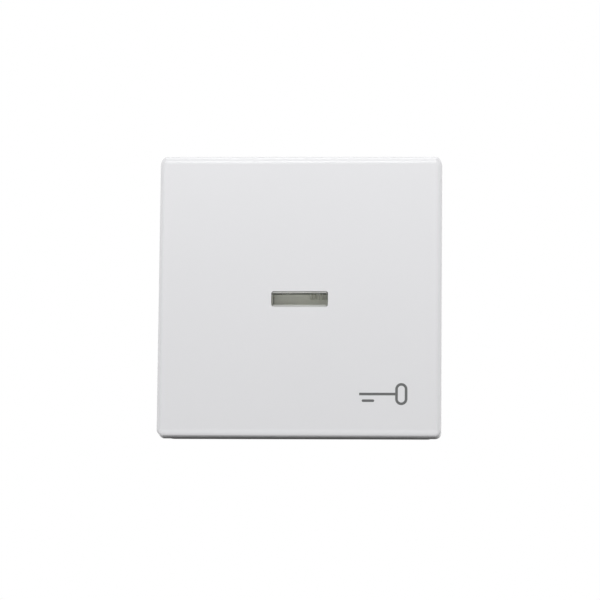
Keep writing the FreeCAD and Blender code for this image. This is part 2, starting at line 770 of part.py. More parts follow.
def bearing_frame():
    """The moulded plate on the ring: bearing ears, stops, slider guide and lamp opening."""
    piece = Piece("bearing_frame")
    tray = middle_box("tray_half_length + guide_gap", "tray_half_height + guide_gap")
    guide = box("-(slider_half_width + guide_gap)", "slider_half_width + guide_gap",
                "-(slider_z + slider_half_height + guide_gap)",
                "-(slider_z - slider_half_height - guide_gap)")
    rivets = four_corners(circle("rivet_x", "rivet_z", "rivet_radius + rivet_gap"))
    screws = four_corners(circle("screw_x", "screw_z", "screw_radius + screw_gap / 2"))
    piece.pad("XZ", "ring_thickness", "frame_front",
              middle_rounded("frame_half_width", "frame_half_height", "frame_corner"),
              tray, guide, *rivets, *screws)
    notch = circle("claw_screw_x", "0", "claw_head_radius + claw_head_gap")
    piece.cut("XZ", "ring_thickness", "frame_front", *both_sides(notch))
    ear = box("frame_front", "pivot_front", "-(ear_half)", "ear_half")
    crown = circle("pivot_front", "0", "ear_half")
    for low, high in (("ear_inner_x", "ear_outer_x"), ("-(ear_outer_x)", "-(ear_inner_x)")):
        piece.pad("YZ", low, high, ear)
        piece.pad("YZ", low, high, crown)
        piece.cut("YZ", low, high, circle("pivot_front", "0", "pivot_bore"))
    rest_stop = box("-(stop_half_width)", "stop_half_width", "rest_stop_z", "rest_stop_z + stop_depth")
    piece.pad("XZ", "frame_front", "yoke_rear - stop_gap", rest_stop)
    end_stop = box("end_stop_x", "end_stop_x + stop_depth",
                   "-(yoke_half_height)", "-(yoke_half_height) + stop_depth")
    piece.pad("XZ", "frame_front", "end_stop_front", *both_sides(end_stop))
    return piece


def base_housing():
    """The insert's body: a walled tube with a partition between the contacts and the terminals."""
    piece = Piece("base_housing")
    outer = chamfered("housing_half_width", "housing_half_height", "housing_chamfer")
    inner = chamfered("inner_half_width", "inner_half_height",
                      "housing_chamfer - housing_wall * (2 - sqrt(2))")
    piece.pad("XZ", "rear_inside", "ring_thickness", outer, inner)
    tongue = box("bar_inner_x - bar_step", "bar_outer_x + bar_step",
                 "terminal_z - tongue_half_width - bar_step", "terminal_z + tongue_half_width + bar_step")
    piece.pad("XZ", "partition_rear", "partition_front", inner, *four_corners(tongue))
    boss = box("screw_x - screw_boss", "inner_half_width", "screw_z - screw_boss", "screw_z + screw_boss")
    piece.pad("XZ", "rear_inside", "ring_thickness", *four_corners(boss))
    piece.cut("XZ", "rear_inside", "ring_thickness",
              *four_corners(circle("screw_x", "screw_z", "screw_radius + screw_gap")))
    ramp = [("housing_half_width", "ramp_foot_front"), ("ramp_top_x", "-(ring_clear_depth)"),
            ("housing_half_width", "-(ring_clear_depth)")]
    low = "claw_half_height - claw_ramp_width"
    for bottom, top in ((low, "claw_half_height"), ("-(claw_half_height)", minus(low))):
        piece.pad("XY", bottom, top, ramp)
        piece.pad("XY", bottom, top, flipped(ramp, True, False))
    return piece


def rear_cover():
    """The flat back of the insert, with the wire entries and the openings for the release buttons."""
    piece = Piece("rear_cover")
    entries = four_corners(circle("terminal_x", "terminal_z", "wire_hole_radius"))
    screws = four_corners(circle("screw_x", "screw_z", "screw_radius + screw_gap"))
    buttons = top_and_bottom(box("-(button_half_width + guide_gap)", "button_half_width + guide_gap",
                                 "button_z - button_half_height - guide_gap",
                                 "button_z + button_half_height + guide_gap"))
    outer = chamfered("housing_half_width", "housing_half_height", "housing_chamfer")
    piece.pad("XZ", "rear_face", "rear_inside", outer, *entries, *screws, *buttons)
    heads = four_corners(circle("screw_x", "screw_z", "screw_head_radius + screw_gap"))
    piece.cut("XZ", "rear_face", "rear_face + screw_head", *heads)
    return piece


def housing_screws():
    """Four long screws from the back through the housing into the bearing frame."""
    piece = Piece("housing_screws")
    head = circle("screw_x", "screw_z", "screw_head_radius")
    piece.pad("XZ", "rear_face", "rear_face + screw_head", *four_corners(head))
    shank = circle("screw_x", "screw_z", "screw_radius")
    piece.pad("XZ", "rear_face + screw_head", "ring_thickness + screw_grip", *four_corners(shank))
    across = box("screw_x - screw_recess_reach", "screw_x + screw_recess_reach",
                 "screw_z - screw_recess_half", "screw_z + screw_recess_half")
    upright = box("screw_x - screw_recess_half", "screw_x + screw_recess_half",
                  "screw_z - screw_recess_reach", "screw_z + screw_recess_reach")
    piece.cut("XZ", "rear_face", "rear_face + screw_head / 2", *four_corners(across))
    piece.cut("XZ", "rear_face", "rear_face + screw_head / 2", *four_corners(upright))
    return piece


def lamp_holder():
    """The white tray that hangs in the bearing frame and holds the lamp behind the window."""
    piece = Piece("lamp_holder")
    outer = middle_box("tray_half_length", "tray_half_height")
    inner = middle_box("tray_half_length - tray_wall", "tray_half_height - tray_wall")
    holes = top_and_bottom(circle("-(lead_x)", "lead_z", "lead_radius + guide_gap"))
    piece.pad("XZ", "tray_inside", "tray_front", outer, inner)
    piece.pad("XZ", "tray_rear", "tray_inside", outer, *holes)
    rim = middle_box("tray_half_length + tray_rim", "tray_half_height + tray_rim")
    piece.pad("XZ", "tray_front", "tray_front + tray_rim_thickness", rim, inner)
    saddles = both_sides(box("saddle_x - saddle_width / 2", "saddle_x + saddle_width / 2",
                             "-(tray_half_height - tray_wall)", "tray_half_height - tray_wall"))
    piece.pad("XZ", "tray_inside", "lamp_rear - lamp_seat_gap", *saddles)
    return piece


def glow_lamp():
    """The glass tube of the glow lamp, closed on the right and open to its base on the left."""
    piece = Piece("glow_lamp")
    axis = circle("lamp_front", "0", "lamp_radius")
    piece.pad("YZ", "-(lamp_left)", "lamp_right", axis)
    right = value("lamp_right")
    names = ["Edge%d" % number for number, edge in enumerate(piece.body.Shape.Edges, start=1)
             if edge.BoundBox.XMin > right - FLAT]
    piece.round_edges(names, "lamp_tip_radius")
    piece.cut("YZ", "-(lamp_left)", "lamp_right - lamp_tip_radius", circle("lamp_front", "0", "lamp_inner"))
    return piece


def lamp_base():
    """The lamp's base, which closes the tube and holds both leads."""
    piece = Piece("lamp_base")
    piece.pad("YZ", "-(lamp_left + lamp_base)", "-(lamp_left)", circle("lamp_front", "0", "lamp_radius"),
              *top_and_bottom(circle("lamp_front", "lead_z", "lead_radius")))
    return piece


def lamp_electrodes():
    """The two rods inside the tube, on the ends of the leads."""
    piece = Piece("lamp_electrodes")
    rods = top_and_bottom(circle("lamp_front", "electrode_gap / 2", "electrode_radius"))
    piece.pad("YZ", "-(lamp_left)", "lamp_right - lamp_radius", *rods)
    return piece


def lamp_leads():
    """The two wires from the lamp base down to the busbars, one of them broken by the resistor."""
    piece = Piece("lamp_leads")
    ends = top_and_bottom(circle("lamp_front", "lead_z", "lead_radius"))
    piece.pad("YZ", "-(lead_x - lead_bend)", "-(lamp_left)", *ends)
    bend_front = "lamp_front - lead_bend"
    piece.bend("-(lead_x - lead_bend)", bend_front,
               *top_and_bottom(circle("-(lead_bend)", "lead_z", "lead_radius")))
    piece.pad("XZ", "track_front", bend_front, circle("-(lead_x)", "lead_z", "lead_radius"))
    piece.pad("XZ", "resistor_front", bend_front, circle("-(lead_x)", "-(lead_z)", "lead_radius"))
    piece.pad("XZ", "track_front", "resistor_rear", circle("-(lead_x)", "-(lead_z)", "lead_radius"))
    return piece


def lamp_resistor():
    """The series resistor of the glow lamp."""
    piece = Piece("lamp_resistor")
    piece.pad("XZ", "resistor_rear", "resistor_front", circle("-(lead_x)", "-(lead_z)", "resistor_radius"))
    for front in ("resistor_rear", "resistor_front"):
        piece.round_edges(piece.edges_at_front(front), "resistor_edge")
    return piece


def terminal_bar(label, flip_x, flip_z, tongue_front):
    """A busbar's part in the terminal chamber: the clamping plate and the tongue through the partition."""
    piece = Piece(label)
    plate = box("bar_inner_x", "bar_outer_x", "terminal_z - bar_half_width", "terminal_z + bar_half_width")
    piece.pad("XZ", "bar_rear", "clamp_front", flipped(plate, flip_x, flip_z))
    tongue = box("bar_inner_x", "bar_outer_x",
                 "terminal_z - tongue_half_width", "terminal_z + tongue_half_width")
    piece.pad("XZ", "clamp_front", tongue_front, flipped(tongue, flip_x, flip_z))
    return piece


def busbar_line():
    """Line: from its terminal at the lower left across to the post that the lever tips on."""
    piece = terminal_bar("busbar_line", True, True, "track_front")
    side = box("-(bar_outer_x)", "-(bar_outer_x) + track_width",
               "-(terminal_z + tongue_half_width)", "-(lead_z / 2)")
    across = box("-(bar_outer_x) + track_width", "lever_x + lever_half_width",
                 "-(lever_pivot_z + lever_post_half)", "-(lead_z / 2)")
    piece.pad("XZ", "track_rear", "track_front", side)
    piece.pad("XZ", "track_rear", "track_front", across)
    post = box("lever_x - lever_half_width", "lever_x + lever_half_width",
               "-(lever_pivot_z + lever_post_half)", "-(lever_pivot_z - lever_post_half)")
    piece.pad("XZ", "track_front", "lever_post_front", post)
    return piece


def busbar_neutral():
    """Neutral: from its terminal at the upper left to the lamp's other lead."""
    piece = terminal_bar("busbar_neutral", True, False, "track_front")
    side = box("-(bar_outer_x)", "-(bar_outer_x) + track_width",
               "lead_z / 2", "terminal_z + tongue_half_width")
    reach = box("-(bar_outer_x) + track_width", "-(lead_x) + track_width / 2",
                "lead_z / 2", "lead_z / 2 + track_width")
    piece.pad("XZ", "track_rear", "track_front", side)
    piece.pad("XZ", "track_rear", "track_front", reach)
    return piece


def contact_arm():
    return box("lever_x - contact_radius", "bar_inner_x", "-(contact_z + lever_half_width)",
               "-(contact_z - lever_half_width)")


def busbar_open():
    """Switched output: carries the fixed contact behind the lever, open at rest."""
    piece = terminal_bar("busbar_open", False, True, "open_arm_front")
    piece.pad("XZ", "open_arm_rear", "open_arm_front", contact_arm())
    edge = box("bar_inner_x", "bar_outer_x", "-(bar_edge_low)", "-(bar_edge_high)")
    piece.pad("XZ", "open_arm_rear", "open_arm_front", edge)
    return piece


def busbar_closed():
    """Second output: runs up the side to the fixed contact in front of the lever, closed at rest."""
    piece = terminal_bar("busbar_closed", False, False, "closed_arm_front")
    rail = box("bar_inner_x", "bar_outer_x",
               "-(contact_z + lever_half_width)", "terminal_z + tongue_half_width")
    piece.pad("XZ", "closed_arm_rear - bar_thickness", "closed_arm_front", rail)
    piece.pad("XZ", "closed_arm_rear", "closed_arm_front", contact_arm())
    return piece


def fixed_contacts():
    """The two silver rivets on the output bars."""
    piece = Piece("fixed_contacts")
    spot = circle("lever_x", "-(contact_z)", "contact_radius")
    piece.pad("XZ", "closed_contact_rear", "closed_arm_rear", spot)
    piece.pad("XZ", "open_arm_front", "open_contact_front", spot)
    return piece


def contact_lever():
    """The moving strip of the changeover contact, with the tab that the slider presses."""
    piece = Piece("contact_lever")
    strip = box("lever_x - lever_half_width", "lever_x + lever_half_width",
                "-(lever_end_z)", "-(lever_pivot_z - lever_post_half)")
    piece.pad("XZ", "lever_rear", "lever_front", strip)
    tab = box("lever_tab_x", "lever_x - lever_half_width", "-(lever_tab_z + lever_tab_half)",
              "-(lever_tab_z - lever_tab_half)")
    piece.pad("XZ", "lever_rear", "lever_front", tab)
    return piece


def moving_contacts():
    """The two silver rivets on the lever."""
    piece = Piece("moving_contacts")
    spot = circle("lever_x", "-(contact_z)", "contact_radius")
    piece.pad("XZ", "lever_front", "lever_front + contact_height", spot)
    piece.pad("XZ", "lever_rear - contact_height", "lever_rear", spot)
    return piece


def push_slider():
    """The plunger that carries the rocker's movement back to the lever."""
    piece = Piece("push_slider")
    stem = box("-(slider_half_width)", "slider_half_width", "-(slider_z + slider_half_height)",
               "-(slider_z - slider_half_height)")
    piece.pad("XZ", "slider_rear", "slider_front", stem)
    flange = box("-(slider_half_width + slider_flange)", "slider_half_width + slider_flange",
                 "-(slider_z + slider_half_height)", "-(slider_z - slider_half_height)")
    piece.pad("XZ", "slider_rear", "slider_flange_front", flange)
    arm = box("slider_half_width + slider_flange", "slider_arm_reach", "-(lever_tab_z + lever_tab_half)",
              "-(lever_tab_z - lever_tab_half)")
    piece.pad("XZ", "slider_rear", "slider_rear + slider_arm", arm)
    return piece


def clamp_springs():
    """Four bent leaves, one in each terminal, that press the wire against its busbar."""
    piece = Piece("clamp_springs")
    inner_bend = "clamp_bend_x - clamp_thickness"
    leaf = [
        ("clamp_back_x", "clamp_front"), ("clamp_bend_x", "clamp_front"), ("clamp_tip_x", "clamp_tip_front"),
        ("clamp_tip_x - clamp_thickness", "clamp_tip_front"), (inner_bend, "clamp_bar_rear"),
        ("clamp_back_x + clamp_thickness", "clamp_bar_rear"),
        ("clamp_back_x + clamp_thickness", "clamp_front - clamp_leg_length"),
        ("clamp_back_x", "clamp_front - clamp_leg_length"),
    ]
    low, high = "terminal_z - clamp_half_width", "terminal_z + clamp_half_width"
    for bottom, top in ((low, high), (minus(high), minus(low))):
        piece.pad("XY", bottom, top, *both_sides(leaf))
    return piece


def release_button(label, below):
    """A button at the back that opens the two clamps of its row."""
    piece = Piece(label)
    stem = box("-(button_half_width)", "button_half_width", "button_z - button_half_height",
               "button_z + button_half_height")
    piece.pad("XZ", "rear_face - button_proud", "button_bar_front", flipped(stem, False, below))
    bar = box("-(button_bar_reach)", "button_bar_reach", "button_z - button_half_height",
              "button_z + button_half_height")
    piece.pad("XZ", "button_bar_rear", "button_bar_front", flipped(bar, False, below))
    finger = box("button_bar_reach - button_finger", "button_bar_reach", "button_z + button_half_height",
                 "button_z + button_half_height + button_finger_rise")
    fingers = [flipped(finger, side, below) for side in (False, True)]
    piece.pad("XZ", "button_bar_rear", "button_bar_front", *fingers)
    return piece


def claw(label, left):
    """A spreader claw: a forked leg on the screw and a side plate with a tooth at its end."""
    piece = Piece(label)
    profile = [
        ("claw_inner_x", "claw_leg_rear"), ("claw_plate_x", "claw_leg_rear"), ("claw_plate_x", "claw_rear"),
        ("claw_outer_x", "claw_rear"), ("claw_outer_x + claw_tooth", "claw_rear + claw_tooth"),
        ("claw_outer_x", "claw_rear + claw_tooth_length"), ("claw_outer_x", "claw_leg_front"),
        ("claw_inner_x", "claw_leg_front"),
    ]
    piece.pad("XY", "-(claw_half_height)", "claw_half_height", flipped(profile, left, False))
    fork = [
        ("claw_inner_x - claw_tooth", "-(claw_hole)"),
        ("claw_screw_x", "-(claw_hole)", "claw_screw_x", "0", True),
        ("claw_screw_x", "claw_hole"), ("claw_inner_x - claw_tooth", "claw_hole"),
    ]
    piece.cut("XZ", "claw_leg_rear", "claw_leg_front", flipped(fork, left, False))
    return piece


def claw_nut(label, left):
    """The square nut behind the claw's leg, held from turning by the housing and the claw."""
    piece = Piece(label)
    block = box("nut_inner_x", "nut_outer_x", "-(nut_half_height)", "nut_half_height")
    thread = circle("claw_screw_x", "0", "claw_screw_radius + thread_gap")
    piece.pad("XZ", "nut_rear", "nut_front", flipped(block, left, False), flipped(thread, left, False))
    return piece


def claw_screw(label, left):
    """The screw that draws the claw forward and outward."""
    piece = Piece(label)
    head = circle("claw_screw_x", "0", "claw_head_radius")
    shank = circle("claw_screw_x", "0", "claw_screw_radius")
    piece.pad("XZ", "-(claw_screw_length) + ring_thickness", "ring_thickness", flipped(shank, left, False))
    piece.pad("XZ", "ring_thickness", "head_front", flipped(head, left, False))
    piece.round_edges(piece.edges_at_front("head_front"), "claw_head_edge")
    across = box("claw_screw_x - claw_recess_reach", "claw_screw_x + claw_recess_reach",
                 "-(claw_recess_half)", "claw_recess_half")
    upright = box("claw_screw_x - claw_recess_half", "claw_screw_x + claw_recess_half",
                  "-(claw_recess_reach)", "claw_recess_reach")
    for arm in (across, upright):
        piece.cut("XZ", "head_front - claw_head / 2", "head_front", flipped(arm, left, False))
    return piece


pieces = [
    rocker_cover(), lens(), key_symbol(), rocker_yoke(),
    support_ring(), bearing_frame(), frame_rivets(), base_housing(), rear_cover(), housing_screws(),
    lamp_holder(), glow_lamp(), lamp_base(), lamp_electrodes(), lamp_leads(), lamp_resistor(),
    busbar_line(), busbar_neutral(), busbar_open(), busbar_closed(),
    fixed_contacts(), contact_lever(), moving_contacts(), push_slider(), clamp_springs(),
    coil("return_spring", "0", "-(slider_z)", "partition_front + spring_seat_gap",
         "slider_rear - spring_seat_gap", "return_coil_radius", "return_wire_radius", "return_turns"),
    coil("contact_spring", "lever_x", "-(contact_spring_z)", "partition_front + spring_seat_gap",
         "lever_rear - spring_seat_gap", "contact_coil_radius", "contact_wire_radius", "return_turns"),
    release_button("release_button_top", False), release_button("release_button_bottom", True),
    claw("claw_right", False), claw("claw_left", True),
    claw_nut("claw_nut_right", False), claw_nut("claw_nut_left", True),
    claw_screw("claw_screw_right", False), claw_screw("claw_screw_left", True),
]
doc.recompute()

faults = []
for item in doc.Objects:
    if any(word in state for state in item.State for word in ("Invalid", "Error")):
        faults.append("%s: %s" % (item.Label, item.State))
for piece in pieces:
    shape = piece.body.Shape
    if shape.isNull() or not shape.isValid() or not shape.Solids:
        faults.append("%s: no valid solid" % piece.body.Label)
if faults:
    raise RuntimeError("; ".join(faults))

os.makedirs("parts", exist_ok=True)
for piece in pieces:
    shape = piece.body.Shape
    shape.exportStep("parts/%s.step" % piece.body.Label)
    print("%-24s %d solids, %8.2f mm3" % (piece.body.Label, len(shape.Solids), shape.Volume))
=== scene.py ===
import json
import math

import bmesh
import bpy
from bpy.props import FloatProperty, FloatVectorProperty, PointerProperty
from bpy.types import Operator, Panel, PropertyGroup
from mathutils import Matrix, Vector

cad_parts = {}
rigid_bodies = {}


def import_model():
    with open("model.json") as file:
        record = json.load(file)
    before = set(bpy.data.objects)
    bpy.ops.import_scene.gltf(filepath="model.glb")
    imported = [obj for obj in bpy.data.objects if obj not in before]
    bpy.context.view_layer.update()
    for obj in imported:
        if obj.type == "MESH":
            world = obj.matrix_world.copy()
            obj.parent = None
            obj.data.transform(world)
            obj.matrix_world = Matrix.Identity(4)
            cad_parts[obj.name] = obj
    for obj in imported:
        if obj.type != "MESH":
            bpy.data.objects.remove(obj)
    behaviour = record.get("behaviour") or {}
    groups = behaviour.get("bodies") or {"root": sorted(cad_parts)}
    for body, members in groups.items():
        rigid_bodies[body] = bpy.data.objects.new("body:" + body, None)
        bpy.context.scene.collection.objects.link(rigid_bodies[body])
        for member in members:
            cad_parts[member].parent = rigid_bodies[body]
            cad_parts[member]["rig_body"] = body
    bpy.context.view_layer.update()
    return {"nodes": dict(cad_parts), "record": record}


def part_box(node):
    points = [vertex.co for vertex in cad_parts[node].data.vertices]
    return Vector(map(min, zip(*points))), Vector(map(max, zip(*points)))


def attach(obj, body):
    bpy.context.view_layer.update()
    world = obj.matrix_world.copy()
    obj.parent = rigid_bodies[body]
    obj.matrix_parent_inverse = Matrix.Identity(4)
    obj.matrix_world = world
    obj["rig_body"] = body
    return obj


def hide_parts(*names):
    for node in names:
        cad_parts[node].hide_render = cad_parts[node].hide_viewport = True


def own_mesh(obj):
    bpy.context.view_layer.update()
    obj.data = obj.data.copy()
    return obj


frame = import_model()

bl_info = {
    "name": "Illuminated push rocker",
    "version": (1, 0, 0),
    "blender": (4, 5, 0),
    "location": "View3D > Sidebar > Push rocker",
    "description": "Dresses the pieces of an illuminated push rocker and sets its studio",
    "category": "Object",
}

MM = 0.001
# Corners of a CAD mesh that are nearer than this are one corner
SAME_CORNER = 1e-6
# Faces that meet flatter than this are one face, and edges that turn more than the second are hard
ONE_FACE = math.radians(0.3)
HARD_EDGE = math.radians(32)
# Room beside the drawn radius when the corners of a round edge are looked for
RING_SLACK = SAME_CORNER * 20
# How far down a corner's rounding starts, as a share of the front edge's radius
CORNER_REACH = 1.1
# Softened edge of small clear forms
FINE_EDGE = 0.03 * MM
# The window's prism ribs: the share of the block's half width that they lie in, how much of its width a
# prism keeps at its tip, and how far from the back they reach, in depths of a rib
RIB_SIDE = 0.9
PRISM_TIP = 0.2
RIB_REACH = 1.5
# A face looks a certain way where its normal has more of that way than this
FACING = 0.5
# Softened edges of some pieces, as shares of the edges of their kind
NUT_EDGE = 1.5
SCREW_EDGE = 0.5
LEAF_EDGE = 0.6
BUTTON_EDGE = 1.5
# The claw screws' thread: its steps in each turn, half its ridge's width as a share of the pitch, and
# where the ridge's foot lies as a share of the core's radius
THREAD_STEPS = 20
RIDGE_HALF = 0.46
RIDGE_FOOT = 0.95
# The housing's low ribs: their places across, half their width, and how far they end from the sheet and
# from the cover
RIB_PLACES = [step * 4.5 * MM for step in (-2, -1, 0, 1, 2)]
RIB_HALF = 0.4 * MM
RIB_MARGIN = 1.2 * MM
# The wire gauge on the rear cover: half its length, half its line and half its end marks
GAUGE_HALF = 5.5 * MM
GAUGE_LINE = 0.35 * MM
GAUGE_MARK = 1.3 * MM
# How much light bends in moulded plastic, in the window's acrylic and in the lamp's glass
PLASTIC_IOR = 1.5
ACRYLIC_IOR = 1.49
GLASS_IOR = 1.47
# How far the edges of the zinc flowers wander
FLOWER_BEND = 0.6 * MM
# How alike the rounded normal and the surface's own are where wear begins and where it is full
WEAR_LIMITS = (0.99, 0.9)
# The floor: its side and height in metres, its grey, and its own faint light, which hides its far edge
FLOOR_SIDE = 60.0
FLOOR_HEIGHT = -0.85
FLOOR_GREY = 0.9
FLOOR_GLOW = 0.22
# The black card under the plate: its grey, its depth as a share of the plate's, how far it starts behind
# the plate and how far it is below it
FLAG_GREY = 0.02
FLAG_SHARE = 1.3
FLAG_BEHIND = 4.4 * MM
FLAG_GAP = 1.75 * MM
# The room's limits, by how much of a way a direction has: the lower room to the upper one, the rear one
# to the front one, and the strip light's side, lower end and rear end
HORIZON = (-0.15, 0.1)
REAR_TO_FRONT = (0.1, -0.1)
STRIP_SIDE = (0.07, 0.11)
STRIP_LOW = (0.3, 0.4)
STRIP_REAR = (0.4, 0.5)
# The soft tube's length, width and place in metres
TUBE_SIZE = (0.4, 0.04)
TUBE_PLACE = Vector((0, -0.11, 0.13))
# The camera: its frame's width in millimetres, how near and far it sees in metres, and where it aims,
# right of and above the middle of the plate's front
FRAME_WIDTH = 36
SEES = (0.05, 20)
AIM_OFFSET = Vector((0.105 * MM, -1.36 * MM, 0))


# Sizes and colours that a user may change

class PlateLook(PropertyGroup):
    colour: FloatVectorProperty(
        name="Colour", description="Colour of the moulded rocker plate",
        default=(0.80, 0.80, 0.815), subtype="COLOR", min=0, max=1)
    gloss: FloatProperty(
        name="Roughness", description="Roughness of the plate's polished skin",
        default=0.07, min=0, max=1, subtype="FACTOR")
    soft_edge: FloatProperty(
        name="Small edges", description="Width of the softened small edges",
        default=0.18 * MM, min=0, unit="LENGTH")
    sign_colour: FloatVectorProperty(
        name="Sign", description="Colour of the key sign's filling",
        default=(0.145, 0.15, 0.15), subtype="COLOR", min=0, max=1)
    top_edge: FloatProperty(
        name="Upper edge", description="Radius of the plate's upper front edge",
        default=2.2 * MM, min=0, unit="LENGTH")


class WindowLook(PropertyGroup):
    tint: FloatVectorProperty(
        name="Tint", description="Tint of the clear window",
        default=(0.985, 0.99, 0.965), subtype="COLOR", min=0, max=1)
    frost: FloatVectorProperty(
        name="Frosted back", description="Colour of the frosted field at the window's back",
        default=(0.97, 0.98, 0.88), subtype="COLOR", min=0, max=1)
    satin: FloatProperty(
        name="Satin sides", description="Share of the light that the window's satin sides let through",
        default=0.48, min=0, max=1, subtype="FACTOR")
    rim: FloatProperty(
        name="Front edge", description="Width of the window's chamfered front edge",
        default=0.42 * MM, min=0, unit="LENGTH")
    border_x: FloatProperty(
        name="Side border", description="Clear border beside the frosted field",
        default=0.5 * MM, min=0, unit="LENGTH")
    border_z: FloatProperty(
        name="Upper and lower border", description="Clear border above and below the frosted field",
        default=0.35 * MM, min=0, unit="LENGTH")
    rib_depth: FloatProperty(
        name="Rib depth", description="How much deeper the prism ribs reach than in the solid",
        default=0.7 * MM, min=0, unit="LENGTH")
    rib_height: FloatProperty(
        name="Rib height", description="Height of the prism ribs in the upper half of the window",
        default=1.3 * MM, min=0, unit="LENGTH")


class InsertLook(PropertyGroup):
    soft_edge: FloatProperty(
        name="Moulded edges", description="Width of the moulded pieces' softened edges",
        default=0.15 * MM, min=0, unit="LENGTH")
    punched_edge: FloatProperty(
        name="Punched edges", description="Width of the metal pieces' softened edges",
        default=0.09 * MM, min=0, unit="LENGTH")
    funnel: FloatProperty(
        name="Wire funnels", description="Width of the funnel round each wire entry",
        default=0.55 * MM, min=0, unit="LENGTH")
    ribs: FloatProperty(
        name="Housing ribs", description="How far the housing's ribs and the wire gauge stand out",
        default=0.3 * MM, min=0, unit="LENGTH")
    thread_pitch: FloatProperty(
        name="Thread pitch", description="Pitch of the claw screws",
        default=0.5 * MM, min=0.1 * MM, unit="LENGTH")
    thread_depth: FloatProperty(
        name="Thread depth", description="Depth of the claw screws' thread",
        default=0.27 * MM, min=0, unit="LENGTH")


class StudioLook(PropertyGroup):
    distance: FloatProperty(
        name="Camera distance", description="From the camera to the plate",
        default=0.9722, min=0.1, unit="LENGTH")
    beside: FloatProperty(
        name="Camera beside", description="How far the camera stands to the right of the plate",
        default=math.radians(2.906), subtype="ANGLE")
    below: FloatProperty(
        name="Camera below", description="How far the camera looks up at the plate",
        default=math.radians(9.684), subtype="ANGLE")
    roll: FloatProperty(
        name="Camera roll", description="How far the camera leans over",
        default=math.radians(0.555), subtype="ANGLE")
    lens: FloatProperty(
        name="Camera lens", description="Focal length on a 36 mm frame, in millimetres",
        default=243.4, min=10)
    front: FloatProperty(
        name="Front light", description="Brightness of the upper room in front of the plate",
        default=0.29, min=0)
    front_low: FloatProperty(
        name="Low front light", description="Brightness of the lower room in front of the plate",
        default=1.12, min=0)
    behind: FloatProperty(
        name="Light from behind", description="Brightness of the upper room behind the plate",
        default=0.95, min=0)
    low: FloatProperty(
        name="Light from below", description="Brightness of the lower room behind the plate",
        default=0.06, min=0)
    strip: FloatProperty(
        name="Overhead strip", description="Brightness of the narrow strip light overhead",
        default=1.9, min=0)
    tube: FloatProperty(
        name="Tube light", description="Power of the soft tube above the front of the plate",
        default=0.146, min=0, unit="POWER")


LOOKS = (("plate", PlateLook), ("window", WindowLook), ("insert", InsertLook), ("studio", StudioLook))


class PushRockerLook(PropertyGroup):
    plate: PointerProperty(name="Plate", type=PlateLook)
    window: PointerProperty(name="Window", type=WindowLook)
    insert: PointerProperty(name="Insert", type=InsertLook)
    studio: PointerProperty(name="Studio", type=StudioLook)


def look():
    """The sizes and colours as the panel has them."""
    return bpy.context.scene.push_rocker


# Shader nodes

class Wiring:
    """Adds nodes to a tree and joins them up."""

    def __init__(self, tree):
        self.tree = tree

    def add(self, kind, values=None, **settings):
        """A new node. Its inputs get numbers or colours, or are joined to the sockets given."""
        node = self.tree.nodes.new(kind)
        for name, setting in settings.items():
            setattr(node, name, setting)
        for socket, given in (values or {}).items():
            if isinstance(given, bpy.types.NodeSocket):
                self.tree.links.new(given, node.inputs[socket])
            else:
                node.inputs[socket].default_value = given
        return node

    def calc(self, operation, first, second=0.0):
        """Two values added, multiplied and so on."""
        node = self.add("ShaderNodeMath", {0: first, 1: second}, operation=operation)
        return node.outputs[0]

    def spread(self, value, low, high, out_low, out_high):
        """A value's stretch from low to high, as out_low to out_high."""
        node = self.add("ShaderNodeMapRange", {0: value, 1: low, 2: high, 3: out_low, 4: out_high})
        return node.outputs[0]

    def blend(self, factor, first, second):
        """A colour between two others."""
        node = self.add("ShaderNodeMix", {0: factor, 6: first, 7: second}, data_type="RGBA")
        return node.outputs[2]

    def noise(self, place, scale, detail=2.0, roughness=0.5):
        node = self.add("ShaderNodeTexNoise",
                        {"Vector": place, "Scale": scale, "Detail": detail, "Roughness": roughness})
        return node.outputs[0]


def effect_group(name, inputs, outputs, build):
    """A node group that puts out masks and heights, built by build(wiring, place, inputs, out)."""
    tree = bpy.data.node_groups.new(name, "ShaderNodeTree")
    for label, default in inputs:
        socket = tree.interface.new_socket(label, in_out="INPUT", socket_type="NodeSocketFloat")
        socket.default_value = default
    for label in outputs:
        tree.interface.new_socket(label, in_out="OUTPUT", socket_type="NodeSocketFloat")
    wiring = Wiring(tree)
    entry, leave = wiring.add("NodeGroupInput"), wiring.add("NodeGroupOutput")
    place = wiring.add("ShaderNodeTexCoord").outputs["Object"]
    for label, result in build(wiring, place, entry.outputs).items():
        tree.links.new(result, leave.inputs[label])
    return tree


def build_waves(wiring, place, given):
    """Slow unevenness of a moulded or cast skin, and where it has been handled."""
    slow = wiring.noise(place, given["Scale"], 2.0)
    handled = wiring.noise(place, wiring.calc("MULTIPLY", given["Scale"], 2.3), 4.0, 0.6)
    return {"Height": slow, "Handled": wiring.spread(handled, 0.35, 0.7, 0.0, 1.0)}


def build_grain(wiring, place, given):
    """Fine spark-eroded grain with a few deeper pits."""
    fine = wiring.noise(place, given["Scale"], 3.0, 0.65)
    cells = wiring.add("ShaderNodeTexVoronoi",
                       {"Vector": place, "Scale": wiring.calc("MULTIPLY", given["Scale"], 0.5)})
    pits = wiring.spread(cells.outputs["Distance"], 0.0, 0.45, 0.0, 1.0)
    height = wiring.calc("ADD", wiring.calc("MULTIPLY", fine, 0.7), wiring.calc("MULTIPLY", pits, 0.3))
    return {"Height": height, "Tone": fine}


